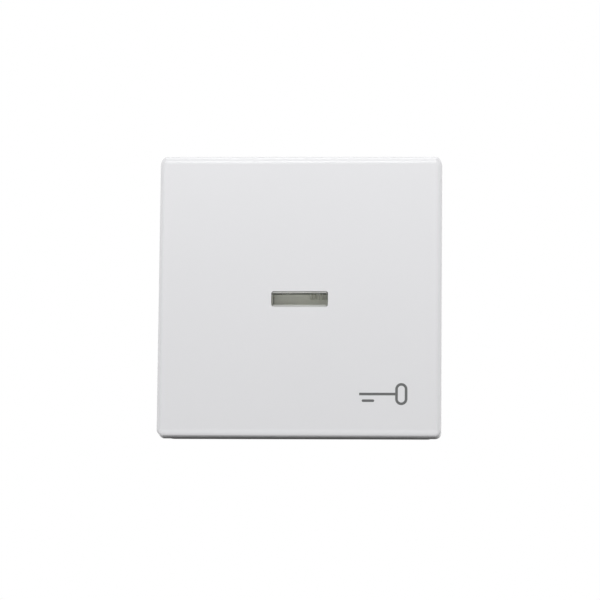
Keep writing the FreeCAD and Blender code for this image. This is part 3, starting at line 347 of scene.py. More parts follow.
def build_streaks(wiring, place, given):
    """Lines of rolling or drawing, along X, Y or Z by how little each stretch is."""
    stretch = wiring.add("ShaderNodeCombineXYZ",
                         {0: given["Along X"], 1: given["Along Y"], 2: given["Along Z"]})
    turned = wiring.add("ShaderNodeVectorMath", {0: place, 1: stretch.outputs[0]}, operation="MULTIPLY")
    lines = wiring.noise(turned.outputs[0], given["Scale"], 4.0, 0.6)
    cloud = wiring.noise(place, wiring.calc("MULTIPLY", given["Scale"], 0.08), 3.0)
    return {"Height": lines, "Tone": wiring.calc("ADD", wiring.calc("MULTIPLY", lines, 0.55),
                                                wiring.calc("MULTIPLY", cloud, 0.45))}


def build_spangle(wiring, place, given):
    """Zinc flowers: crystals of differing tone with faint edges."""
    bent = wiring.add("ShaderNodeTexNoise",
                      {"Vector": place, "Scale": wiring.calc("MULTIPLY", given["Scale"], 1.6)})
    shift = wiring.add("ShaderNodeVectorMath", {0: bent.outputs["Color"], 1: (FLOWER_BEND,) * 3},
                       operation="MULTIPLY")
    moved = wiring.add("ShaderNodeVectorMath", {0: place, 1: shift.outputs[0]}, operation="ADD")
    cells = wiring.add("ShaderNodeTexVoronoi", {"Vector": moved.outputs[0], "Scale": given["Scale"]})
    tone = wiring.add("ShaderNodeSeparateColor", {0: cells.outputs["Color"]})
    edges = wiring.add("ShaderNodeTexVoronoi", {"Vector": moved.outputs[0], "Scale": given["Scale"]},
                       feature="DISTANCE_TO_EDGE")
    rim = wiring.spread(edges.outputs["Distance"], 0.0, 0.06, 0.0, 1.0)
    return {"Tone": tone.outputs[0], "Height": rim}


def build_wear(wiring, place, given):
    """Bare or rubbed edges, where a rounded normal would turn away from the surface's own."""
    rounded = wiring.add("ShaderNodeBevel", {"Radius": given["Reach"]}, samples=6)
    own = wiring.add("ShaderNodeNewGeometry").outputs["Normal"]
    alike = wiring.add("ShaderNodeVectorMath", {0: rounded.outputs[0], 1: own}, operation="DOT_PRODUCT")
    edge = wiring.spread(alike.outputs["Value"], *WEAR_LIMITS, 0.0, 1.0)
    patchy = wiring.noise(place, given["Scale"], 3.0, 0.6)
    return {"Mask": wiring.calc("MULTIPLY", edge, wiring.spread(patchy, 0.4, 0.65, 0.15, 1.0))}


EFFECTS = {
    "Skin waves": ([("Scale", 90.0)], ["Height", "Handled"], build_waves),
    "Spark grain": ([("Scale", 5000.0)], ["Height", "Tone"], build_grain),
    "Rolled lines": ([("Scale", 900.0), ("Along X", 1.0), ("Along Y", 1.0), ("Along Z", 1.0)],
                     ["Height", "Tone"], build_streaks),
    "Zinc spangle": ([("Scale", 350.0)], ["Tone", "Height"], build_spangle),
    "Edge wear": ([("Scale", 1500.0), ("Reach", 0.25 * MM)], ["Mask"], build_wear),
}
groups = {}


def effect(wiring, name, **given):
    """Places a shared effect in a material, with its own values."""
    if name not in groups:
        groups[name] = effect_group(name, *EFFECTS[name])
    node = wiring.add("ShaderNodeGroup", node_tree=groups[name])
    for label, number in given.items():
        node.inputs[label.replace("_", " ")].default_value = number
    return node.outputs


def new_material(name):
    """An empty material with its shader and output, and the wiring to add to."""
    material = bpy.data.materials.new(name)
    material.use_nodes = True
    material.node_tree.nodes.clear()
    wiring = Wiring(material.node_tree)
    shader = wiring.add("ShaderNodeBsdfPrincipled")
    wiring.add("ShaderNodeOutputMaterial", {"Surface": shader.outputs[0]})
    return material, wiring, shader


def join(wiring, socket, shader, name):
    """Joins a socket to a named input of the shader."""
    wiring.tree.links.new(socket, shader.inputs[name])


def bumps(wiring, shader, *layers):
    """Stacks bump layers, each a height, its depth in metres and its strength."""
    normal = None
    for height, depth, strength in layers:
        values = {"Strength": strength, "Distance": depth, "Height": height}
        if normal is not None:
            values["Normal"] = normal
        normal = wiring.add("ShaderNodeBump", values).outputs[0]
    join(wiring, normal, shader, "Normal")


def tinted(colour, factor):
    """A colour made darker or lighter, with its alpha."""
    return tuple(min(1.0, channel * factor) for channel in colour) + (1.0,)


def moulded(name, colour, roughness, grain=0.35, waves=0.5, wave_scale=90.0, mottle=0.04, worn=1.12,
            depth=0.0):
    """Moulded plastic: slow waves, fine grain and handled patches that are a little duller."""
    material, wiring, shader = new_material(name)
    skin = effect(wiring, "Skin waves", Scale=wave_scale)
    wear = effect(wiring, "Edge wear", Scale=1400.0)
    cloud = wiring.blend(skin["Height"], tinted(colour, 1 - mottle), tinted(colour, 1 + mottle / 2))
    join(wiring, wiring.blend(wear["Mask"], cloud, tinted(colour, worn)), shader, "Base Color")
    dull = wiring.spread(skin["Handled"], 0.0, 1.0, roughness * 0.9, roughness * 1.2)
    join(wiring, dull, shader, "Roughness")
    layers = [(skin["Height"], 0.02 * MM, waves)]
    if grain:
        texture = effect(wiring, "Spark grain", Scale=5200.0)
        layers.append((texture["Height"], 0.004 * MM, grain))
    bumps(wiring, shader, *layers)
    shader.inputs["IOR"].default_value = PLASTIC_IOR
    if depth:
        shader.inputs["Subsurface Weight"].default_value = depth
        shader.inputs["Subsurface Radius"].default_value = (1.0, 1.0, 1.0)
        shader.inputs["Subsurface Scale"].default_value = 0.4 * MM
    return material


def metal(name, colour, roughness, streaks=(1.0, 1.0, 1.0), scale=900.0, contrast=0.12,
          dull=(0.5, 0.46, 0.42), tarnish=0.15, lines=0.4):
    """Rolled, drawn or turned metal: lines, cloudy tone, some tarnish and brighter worn edges."""
    material, wiring, shader = new_material(name)
    drawn = effect(wiring, "Rolled lines", Scale=scale,
                   Along_X=streaks[0], Along_Y=streaks[1], Along_Z=streaks[2])
    skin = effect(wiring, "Skin waves", Scale=260.0)
    wear = effect(wiring, "Edge wear", Scale=2200.0)
    tone = wiring.blend(drawn["Tone"], tinted(colour, 1 - contrast), tinted(colour, 1 + contrast))
    aged = wiring.blend(wiring.calc("MULTIPLY", skin["Handled"], tarnish), tone, tuple(dull) + (1.0,))
    join(wiring, wiring.blend(wear["Mask"], aged, tinted(colour, 1.25)), shader, "Base Color")
    shader.inputs["Metallic"].default_value = 1.0
    rough = wiring.spread(drawn["Tone"], 0.3, 0.7, roughness * 0.75, roughness * 1.3)
    join(wiring, rough, shader, "Roughness")
    bumps(wiring, shader, (drawn["Height"], 0.004 * MM, lines), (skin["Height"], 0.01 * MM, 0.3))
    return material


def galvanised(name, colour, roughness):
    """Zinc-coated sheet: spangle over the rolling lines, with brighter worn edges."""
    material, wiring, shader = new_material(name)
    flowers = effect(wiring, "Zinc spangle", Scale=560.0)
    drawn = effect(wiring, "Rolled lines", Scale=700.0, Along_X=0.06)
    wear = effect(wiring, "Edge wear", Scale=1800.0)
    crystal = wiring.blend(flowers["Tone"], tinted(colour, 0.92), tinted(colour, 1.08))
    lined = wiring.blend(wiring.calc("MULTIPLY", drawn["Tone"], 0.4), crystal, tinted(colour, 0.72))
    join(wiring, wiring.blend(wear["Mask"], lined, tinted(colour, 1.3)), shader, "Base Color")
    shader.inputs["Metallic"].default_value = 1.0
    rough = wiring.spread(flowers["Tone"], 0.0, 1.0, roughness * 0.8, roughness * 1.25)
    join(wiring, rough, shader, "Roughness")
    bumps(wiring, shader, (flowers["Height"], 0.004 * MM, 0.3), (drawn["Height"], 0.005 * MM, 0.35))
    return material


def clear(name, colour, roughness, ior, waves=0.2, through=1.0):
    """Clear plastic or glass, with slow waves in its skin."""
    material, wiring, shader = new_material(name)
    skin = effect(wiring, "Skin waves", Scale=400.0)
    tint = wiring.blend(skin["Handled"], tinted(colour, 0.97), tinted(colour, 1.0))
    join(wiring, tint, shader, "Base Color")
    join(wiring, wiring.spread(skin["Handled"], 0.0, 1.0, roughness, roughness * 1.6), shader, "Roughness")
    bumps(wiring, shader, (skin["Height"], 0.01 * MM, waves))
    shader.inputs["IOR"].default_value = ior
    shader.inputs["Transmission Weight"].default_value = through
    return material


def sign_filling(name, colour):
    """Moulded or printed filling: matt, with a fine mottle."""
    material, wiring, shader = new_material(name)
    texture = effect(wiring, "Spark grain", Scale=7000.0)
    mottled = wiring.blend(texture["Tone"], tinted(colour, 0.85), tinted(colour, 1.2))
    join(wiring, mottled, shader, "Base Color")
    join(wiring, wiring.spread(texture["Tone"], 0.3, 0.7, 0.28, 0.42), shader, "Roughness")
    bumps(wiring, shader, (texture["Height"], 0.006 * MM, 0.4))
    return material


def banded_resistor(name, body, bands, low, high):
    """A lacquered resistor with its colour rings across Y, between two places."""
    material, wiring, shader = new_material(name)
    texture = effect(wiring, "Spark grain", Scale=6000.0)
    place = wiring.add("ShaderNodeTexCoord").outputs["Object"]
    along = wiring.add("ShaderNodeSeparateXYZ", {0: place}).outputs[1]
    share = wiring.spread(along, low, high, 0.0, 1.0)
    ramp = wiring.add("ShaderNodeValToRGB", {0: share})
    ramp.color_ramp.interpolation = "CONSTANT"
    stops = [(0.0, body)]
    for start, width, colour in bands:
        stops += [(start, colour), (start + width, body)]
    for index, (where, colour) in enumerate(stops):
        mark = ramp.color_ramp.elements[index] if index < 2 else ramp.color_ramp.elements.new(where)
        mark.position, mark.color = where, tuple(colour) + (1.0,)
    amount = wiring.calc("MULTIPLY", texture["Tone"], 0.25)
    mottled = wiring.blend(amount, ramp.outputs[0], (0.25, 0.2, 0.15, 1.0))
    join(wiring, mottled, shader, "Base Color")
    join(wiring, wiring.spread(texture["Tone"], 0.3, 0.7, 0.2, 0.34), shader, "Roughness")
    bumps(wiring, shader, (texture["Height"], 0.01 * MM, 0.4))
    return material


def make_finish(slot):
    """The material of a slot, made from its recipe."""
    plate = look().plate
    if slot == "rocker_gloss":
        return moulded("Rocker gloss", plate.colour, plate.gloss, grain=0.0, waves=0.08, wave_scale=45.0,
                       mottle=0.012, worn=1.0, depth=0.12)
    if slot == "lens_clear":
        return clear("Window clear", look().window.tint, 0.05, ACRYLIC_IOR)
    if slot == "lamp_glass":
        return clear("Lamp glass", (0.97, 0.98, 0.96), 0.01, GLASS_IOR, waves=0.35)
    if slot == "sign_ink":
        return sign_filling("Sign filling", plate.sign_colour)
    if slot == "galvanised_ring":
        return galvanised("Galvanised sheet", (0.62, 0.63, 0.64), 0.34)
    if slot == "resistor_body":
        low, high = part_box("lamp_resistor")
        rings = [(0.16, 0.09, (0.35, 0.02, 0.02)), (0.33, 0.09, (0.30, 0.04, 0.35)),
                 (0.50, 0.09, (0.75, 0.55, 0.03)), (0.76, 0.08, (0.55, 0.38, 0.10))]
        return banded_resistor("Resistor lacquer", (0.62, 0.47, 0.30), rings, low.y, high.y)
    if slot in PLASTICS:
        label, colour, roughness, extra = PLASTICS[slot]
        return moulded(label, colour, roughness, **extra)
    label, colour, roughness, extra = METALS[slot]
    return metal(label, colour, roughness, **extra)


PLASTICS = {
    "yoke_plastic": ("Yoke plastic", (0.70, 0.70, 0.69), 0.38, {}),
    "frame_plastic": ("Bearing plastic", (0.60, 0.60, 0.58), 0.42, {}),
    "housing_plastic": ("Housing thermoset", (0.46, 0.47, 0.47), 0.45, {"mottle": 0.1, "grain": 0.55}),
    "rear_plastic": ("Rear plastic", (0.66, 0.66, 0.64), 0.4, {"mottle": 0.1, "grain": 0.5}),
    "tray_plastic": ("Tray plastic", (0.86, 0.86, 0.82), 0.35, {"mottle": 0.02}),
    "lamp_bead": ("Lamp base", (0.30, 0.28, 0.24), 0.3, {"mottle": 0.15}),
    "slider_plastic": ("Slider plastic", (0.58, 0.56, 0.48), 0.32, {"depth": 0.2}),
    "button_plastic": ("Button plastic", (0.68, 0.20, 0.035), 0.33, {"mottle": 0.05}),
}
METALS = {
    "rivet_steel": ("Rivet steel", (0.60, 0.60, 0.59), 0.3, {"scale": 1400.0}),
    "screw_steel": ("Screw zinc", (0.68, 0.69, 0.70), 0.26, {"scale": 1500.0, "dull": (0.45, 0.44, 0.36)}),
    "electrode_nickel": ("Electrode nickel", (0.62, 0.60, 0.55), 0.3, {"streaks": (0.05, 1.0, 1.0)}),
    "lead_tin": ("Tinned wire", (0.70, 0.70, 0.68), 0.28, {"streaks": (1.0, 0.08, 1.0)}),
    "bar_brass": ("Bar brass", (0.78, 0.58, 0.26), 0.27,
                  {"streaks": (1.0, 0.05, 1.0), "dull": (0.42, 0.27, 0.12), "tarnish": 0.35}),
    "contact_silver": ("Contact silver", (0.86, 0.85, 0.82), 0.2,
                       {"scale": 2500.0, "dull": (0.5, 0.44, 0.36)}),
    "lever_bronze": ("Lever bronze", (0.73, 0.47, 0.30), 0.26,
                     {"streaks": (1.0, 1.0, 0.05), "dull": (0.36, 0.20, 0.11), "tarnish": 0.3}),
    "clamp_steel": ("Clamp steel", (0.55, 0.56, 0.57), 0.24, {"streaks": (0.06, 1.0, 1.0)}),
    "spring_steel": ("Spring wire", (0.50, 0.50, 0.50), 0.25, {"scale": 3000.0}),
    "claw_steel": ("Claw steel", (0.60, 0.61, 0.61), 0.33,
                   {"streaks": (1.0, 0.07, 1.0), "dull": (0.42, 0.40, 0.33), "tarnish": 0.3}),
    "nut_steel": ("Nut steel", (0.63, 0.62, 0.58), 0.3, {"dull": (0.45, 0.42, 0.30), "tarnish": 0.3}),
}
finishes = {}


def finish_of(slot):
    """The material of a slot, which all its pieces share."""
    if slot not in finishes:
        finishes[slot] = make_finish(slot)
    return finishes[slot]


def slot_of(node):
    """The record's material slot of a CAD node."""
    for part in frame["record"]["subparts"]:
        if part["node"] == node:
            return part["material_slot"]
    raise RuntimeError("no material slot names " + node)


# Meshes

def merged_copy(node):
    """A bmesh of a CAD node with its doubles merged and its flat faces joined."""
    form = bmesh.new()
    form.from_mesh(frame["nodes"][node].data)
    bmesh.ops.remove_doubles(form, verts=form.verts, dist=SAME_CORNER)
    bmesh.ops.dissolve_limit(form, angle_limit=ONE_FACE, verts=form.verts, edges=form.edges)
    return form


def place_piece(form, name, node, width=0.0, segments=2):
    """Makes a bmesh the piece that replaces a CAD node, and rides where the node rides."""
    for face in form.faces:
        face.smooth = True
    for edge in form.edges:
        edge.smooth = edge.calc_face_angle(0.0) < HARD_EDGE
    mesh = bpy.data.meshes.new(name)
    form.to_mesh(mesh)
    form.free()
    for attribute in [each for each in mesh.attributes if each.name == "custom_normal"]:
        mesh.attributes.remove(attribute)
    slot = slot_of(node)
    mesh.materials.clear()
    mesh.materials.append(finish_of(slot))
    for polygon in mesh.polygons:
        polygon.material_index = 0
    piece = bpy.data.objects.new(name, mesh)
    bpy.context.scene.collection.objects.link(piece)
    if width:
        bevel = piece.modifiers.new("Soft edges", "BEVEL")
        bevel.width, bevel.segments = width, segments
        bevel.limit_method, bevel.angle_limit = "ANGLE", HARD_EDGE
        bevel.use_clamp_overlap = True
        evened = piece.modifiers.new("Even shading", "WEIGHTED_NORMAL")
        evened.mode, evened.weight, evened.keep_sharp = "FACE_AREA", 100, True
    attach(piece, frame["nodes"][node]["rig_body"])
    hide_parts(node)
    return piece


def soften(node, name, width, segments=2):
    """A CAD node as a piece with softened edges."""
    return place_piece(merged_copy(node), name, node, width, segments)


def keep_node(node):
    """A CAD node that stays as it is, in its own finish."""
    material = finish_of(slot_of(node))
    for place in frame["nodes"][node].material_slots:
        place.material = material


def round_part(form, verts, width, segments):
    """Bevels the edges among the given corners that are hard."""
    chosen = set(verts)
    edges = [edge for edge in form.edges if edge.verts[0] in chosen and edge.verts[1] in chosen
             and edge.calc_face_angle(0.0) > HARD_EDGE]
    if not edges:
        raise RuntimeError("no hard edge to round")
    bmesh.ops.bevel(form, geom=edges, offset=width, offset_type="OFFSET", segments=segments, profile=0.5,
                    affect="EDGES", clamp_overlap=True, material=-1)


def add_bar(form, low, high):
    """A bar between two corners. Its foot is sunk into the wall that it stands on."""
    low, high = Vector(low), Vector(high)
    bmesh.ops.create_cube(form, size=1.0, matrix=Matrix.Translation((low + high) / 2)
                          @ Matrix.Diagonal((high - low).to_4d()))


# Operators, one for each piece or group of like pieces

class PUSH_ROCKER_OT_plate(Operator):
    """Rocker plate with softened small edges"""
    bl_idname = "push_rocker.plate"
    bl_label = "Rocker plate"

    def execute(self, context):
        form = merged_copy("rocker_cover")
        self.round_top(form, look().plate.top_edge)
        place_piece(form, "rocker_plate", "rocker_cover", look().plate.soft_edge, 3)
        return {"FINISHED"}

    @staticmethod
    def round_top(form, radius):
        """Widens the rounding of the upper front edge, about the line where its faces would meet."""
        low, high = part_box("rocker_cover")
        drawn = min(vert.co.y for vert in form.verts if vert.co.z > high.z - SAME_CORNER) - low.y
        for vert in form.verts:
            down, back = high.z - vert.co.z, vert.co.y - low.y
            if down < drawn * CORNER_REACH and back < drawn + SAME_CORNER:
                vert.co.z = high.z - down * radius / drawn
                vert.co.y = low.y + back * radius / drawn


class PUSH_ROCKER_OT_sign(Operator):
    """Key sign, the dark filling in the plate"""
    bl_idname = "push_rocker.sign"
    bl_label = "Key sign"

    def execute(self, context):
        keep_node("key_symbol")
        return {"FINISHED"}


class PUSH_ROCKER_OT_window(Operator):
    """Clear window with a chamfered front edge, satin sides, a frosted back and prism ribs"""
    bl_idname = "push_rocker.window"
    bl_label = "Window"

    def execute(self, context):
        window = look().window
        form = merged_copy("lens")
        front = min(vert.co.y for vert in form.verts)
        self.deepen_ribs(form, window)
        round_part(form, [vert for vert in form.verts if vert.co.y < front + SAME_CORNER], window.rim, 1)
        frosted = self.frost_back(form, window)
        piece = place_piece(form, "window_lens", "lens", FINE_EDGE)
        piece.data.materials.append(moulded("Window frost", window.frost, 0.5))
        piece.data.materials.append(
            clear("Window satin", window.tint, 0.35, ACRYLIC_IOR, through=window.satin))
        for polygon in piece.data.polygons:
            satin = abs(polygon.normal.y) < FACING or abs(polygon.normal.z) > FACING
            polygon.material_index = 1 if polygon.index in frosted else 2 if satin else 0
        return {"FINISHED"}

    @staticmethod
    def frost_back(form, window):
        """Divides the back of the block and returns its inner faces, which are frosted."""
        rear = max(vert.co.y for vert in form.verts)
        block = [vert.co for vert in form.verts if vert.co.y > rear - SAME_CORNER]
        half = max(place.x for place in block) - window.border_x
        low = min(place.z for place in block) + window.border_z
        high = max(place.z for place in block) - window.border_z
        for place, way in (((half, 0, 0), (1, 0, 0)), ((-half, 0, 0), (-1, 0, 0)),
                           ((0, 0, low), (0, 0, -1)), ((0, 0, high), (0, 0, 1))):
            back = [face for face in form.faces if face.calc_center_median().y > rear - SAME_CORNER]
            parts = list({part for face in back for part in face.edges[:] + face.verts[:]})
            bmesh.ops.bisect_plane(form, geom=back + parts, dist=SAME_CORNER, plane_co=place, plane_no=way)
        form.faces.index_update()
        reach = rear - window.rib_depth * RIB_REACH
        return {face.index for face in form.faces
                if (middle := face.calc_center_median()).y > reach and abs(middle.x) < half
                and low < middle.z < high and (middle.y > rear - SAME_CORNER or middle.x > 0)}

    @staticmethod
    def deepen_ribs(form, window):
        """Turns the ribs' grooves into deeper prisms in the upper half of the block."""
        low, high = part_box("lens")
        side = max(vert.co.x for vert in form.verts if vert.co.y > high.y - SAME_CORNER)
        halfway = low.y + (high.y - low.y) / 2
        ribs = [vert for vert in form.verts if vert.co.y > halfway and 0 < vert.co.x < side * RIB_SIDE]
        if not ribs:
            raise RuntimeError("the window has no ribs")
        top = max(vert.co.z for vert in ribs)
        for vert in ribs:
            if vert.co.z < top - SAME_CORNER:
                vert.co.z = top - window.rib_height
        deep = [vert for vert in ribs if vert.co.y < high.y - SAME_CORNER]
        floors = {face for vert in deep for face in vert.link_faces
                  if all(corner in deep for corner in face.verts)}
        for floor in sorted(floors, key=lambda face: face.index):
            middle = floor.calc_center_median().x
            for vert in floor.verts:
                vert.co.x = middle + (vert.co.x - middle) * PRISM_TIP
                vert.co.y -= window.rib_depth


class PUSH_ROCKER_OT_yoke(Operator):
    """Yoke that carries the plate"""
    bl_idname = "push_rocker.yoke"
    bl_label = "Yoke"

    def execute(self, context):
        soften("rocker_yoke", "yoke", look().insert.soft_edge)
        return {"FINISHED"}


class PUSH_ROCKER_OT_ring(Operator):
    """Galvanised support ring with punched edges"""
    bl_idname = "push_rocker.ring"
    bl_label = "Support ring"

    def execute(self, context):
        soften("support_ring", "ring_plate", look().insert.punched_edge)
        return {"FINISHED"}


class PUSH_ROCKER_OT_housing(Operator):
    """Bearing frame, housing and rear cover"""
    bl_idname = "push_rocker.housing"
    bl_label = "Housing"

    def execute(self, context):
        soften("bearing_frame", "bearing_plate", look().insert.soft_edge)
        tube = merged_copy("base_housing")
        self.add_ribs(tube, look().insert.ribs)
        place_piece(tube, "housing_tube", "base_housing", look().insert.soft_edge)
        form = merged_copy("rear_cover")
        back = max(vert.co.y for vert in form.verts)
        self.add_funnels(form, back, look().insert.funnel)
        self.add_gauge(form, back, look().insert.ribs)
        place_piece(form, "housing_back", "rear_cover", look().insert.soft_edge)
        return {"FINISHED"}

    @staticmethod
    def add_funnels(form, back, width):
        """Chamfers the mouth of each wire entry."""
        for mount in frame["record"]["mounts"]:
            if not mount["name"].startswith("wire_entry"):
                continue
            reach = mount["dims"]["r_mm"] * MM + RING_SLACK
            x, _, z = mount["pos_m"]
            ring = [vert for vert in form.verts if vert.co.y > back - SAME_CORNER
                    and math.hypot(vert.co.x - x, vert.co.z - z) < reach]
            round_part(form, ring, width, 1)

    @staticmethod
    def add_ribs(form, rise):
        """Low ribs along the housing's upper and lower walls."""
        low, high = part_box("base_housing")
        start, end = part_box("support_ring")[1].y + RIB_MARGIN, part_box("rear_cover")[0].y - RIB_MARGIN
        for wall in (low.z, high.z):
            for x in RIB_PLACES:
                add_bar(form, (x - RIB_HALF, start, wall - rise), (x + RIB_HALF, end, wall + rise))

    @staticmethod
    def add_gauge(form, back, rise):
        """A raised line with end marks, as long as a wire's bare end has to be."""
        foot, top = back - rise, back + rise
        add_bar(form, (-GAUGE_HALF, foot, -GAUGE_LINE), (GAUGE_HALF, top, GAUGE_LINE))
        for x in (-GAUGE_HALF, GAUGE_HALF):
            add_bar(form, (x - GAUGE_LINE, foot, -GAUGE_MARK), (x + GAUGE_LINE, top, GAUGE_MARK))


class PUSH_ROCKER_OT_fasteners(Operator):
    """Rivets and housing screws"""
    bl_idname = "push_rocker.fasteners"
    bl_label = "Rivets and screws"

    def execute(self, context):
        soften("frame_rivets", "rivets", look().insert.punched_edge)
        soften("housing_screws", "back_screws", look().insert.punched_edge)
        return {"FINISHED"}


class PUSH_ROCKER_OT_claws(Operator):
    """Spreader claws, their nuts and their threaded screws"""
    bl_idname = "push_rocker.claws"
    bl_label = "Claws"

    def execute(self, context):
        edge = look().insert.punched_edge
        for side in ("right", "left"):
            soften("claw_" + side, "spreader_" + side, edge)
            soften("claw_nut_" + side, "spreader_nut_" + side, edge * NUT_EDGE)
            form = merged_copy("claw_screw_" + side)
            self.cut_thread(form, "claw_screw_" + side, look().insert)
            place_piece(form, "spreader_screw_" + side, "claw_screw_" + side, edge * SCREW_EDGE)
        return {"FINISHED"}

    @staticmethod
    def cut_thread(form, node, insert):
        """Thins the shank to its core and winds a ridge on it, from behind the ring to the tip."""
        low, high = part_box(node)
        axis = Vector(((low.x + high.x) / 2, 0, 0))
        shank = [vert for vert in form.verts if vert.co.y > high.y - SAME_CORNER]
        radius = max((vert.co - axis).xz.length for vert in shank)
        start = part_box("support_ring")[1].y + insert.thread_pitch
        core = (radius - insert.thread_depth) / radius
        shoulder = start + insert.thread_pitch / 4
        for place in (start, shoulder):
            bmesh.ops.bisect_plane(form, geom=form.verts[:] + form.edges[:] + form.faces[:],
                                   dist=SAME_CORNER, plane_co=(0, place, 0), plane_no=(0, 1, 0))
        for vert in form.verts:
            if vert.co.y > shoulder - SAME_CORNER:
                vert.co.x = axis.x + (vert.co.x - axis.x) * core
                vert.co.z *= core
        foot = radius * core * RIDGE_FOOT
        half = insert.thread_pitch * RIDGE_HALF
        corners = [form.verts.new((axis.x + out, start + half + along, 0))
                   for out, along in ((foot, -half), (radius, 0), (foot, half))]
        profile = form.faces.new(corners)
        length = high.y - start - 2 * half
        turns = length / insert.thread_pitch
        steps = round(turns * THREAD_STEPS)
        bmesh.ops.spin(form, geom=[profile], cent=axis, axis=(0, 1, 0), dvec=(0, length / steps, 0),
                       angle=turns * 2 * math.pi, steps=steps, use_merge=False)
        bmesh.ops.recalc_face_normals(form, faces=form.faces)


class PUSH_ROCKER_OT_buttons(Operator):
    """Release buttons at the back"""
    bl_idname = "push_rocker.buttons"
    bl_label = "Release buttons"

    def execute(self, context):
        edge = look().insert.soft_edge * BUTTON_EDGE
        for side in ("top", "bottom"):
            soften("release_button_" + side, "release_" + side, edge, 3)
        return {"FINISHED"}


class PUSH_ROCKER_OT_lamp(Operator):
    """Lamp tray, glow lamp, leads and resistor"""
    bl_idname = "push_rocker.lamp"
    bl_label = "Lamp"

    def execute(self, context):
        soften("lamp_holder", "lamp_tray", look().insert.soft_edge)
        for node in ("glow_lamp", "lamp_base", "lamp_electrodes", "lamp_leads", "lamp_resistor"):
            keep_node(node)
        return {"FINISHED"}


class PUSH_ROCKER_OT_contacts(Operator):
    """Busbars, contacts, lever, slider, clamps and the coils"""
    bl_idname = "push_rocker.contacts"
    bl_label = "Contacts"

    def execute(self, context):
        for node in ("busbar_line", "busbar_neutral", "busbar_open", "busbar_closed", "fixed_contacts",
                     "contact_lever", "moving_contacts"):
            keep_node(node)
        self.coil("return_spring", "coil_return", "slider_push")
        self.coil("contact_spring", "coil_contact", "lever_tip")
        soften("push_slider", "plunger", look().insert.soft_edge)
        soften("clamp_springs", "clamp_leaves", look().insert.punched_edge * LEAF_EDGE)
        return {"FINISHED"}

    @staticmethod
    def coil(node, name, joint):
        """A coil as a piece with a mesh of its own; its joint is not used."""
        piece = place_piece(merged_copy(node), name, node)
        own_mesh(piece)


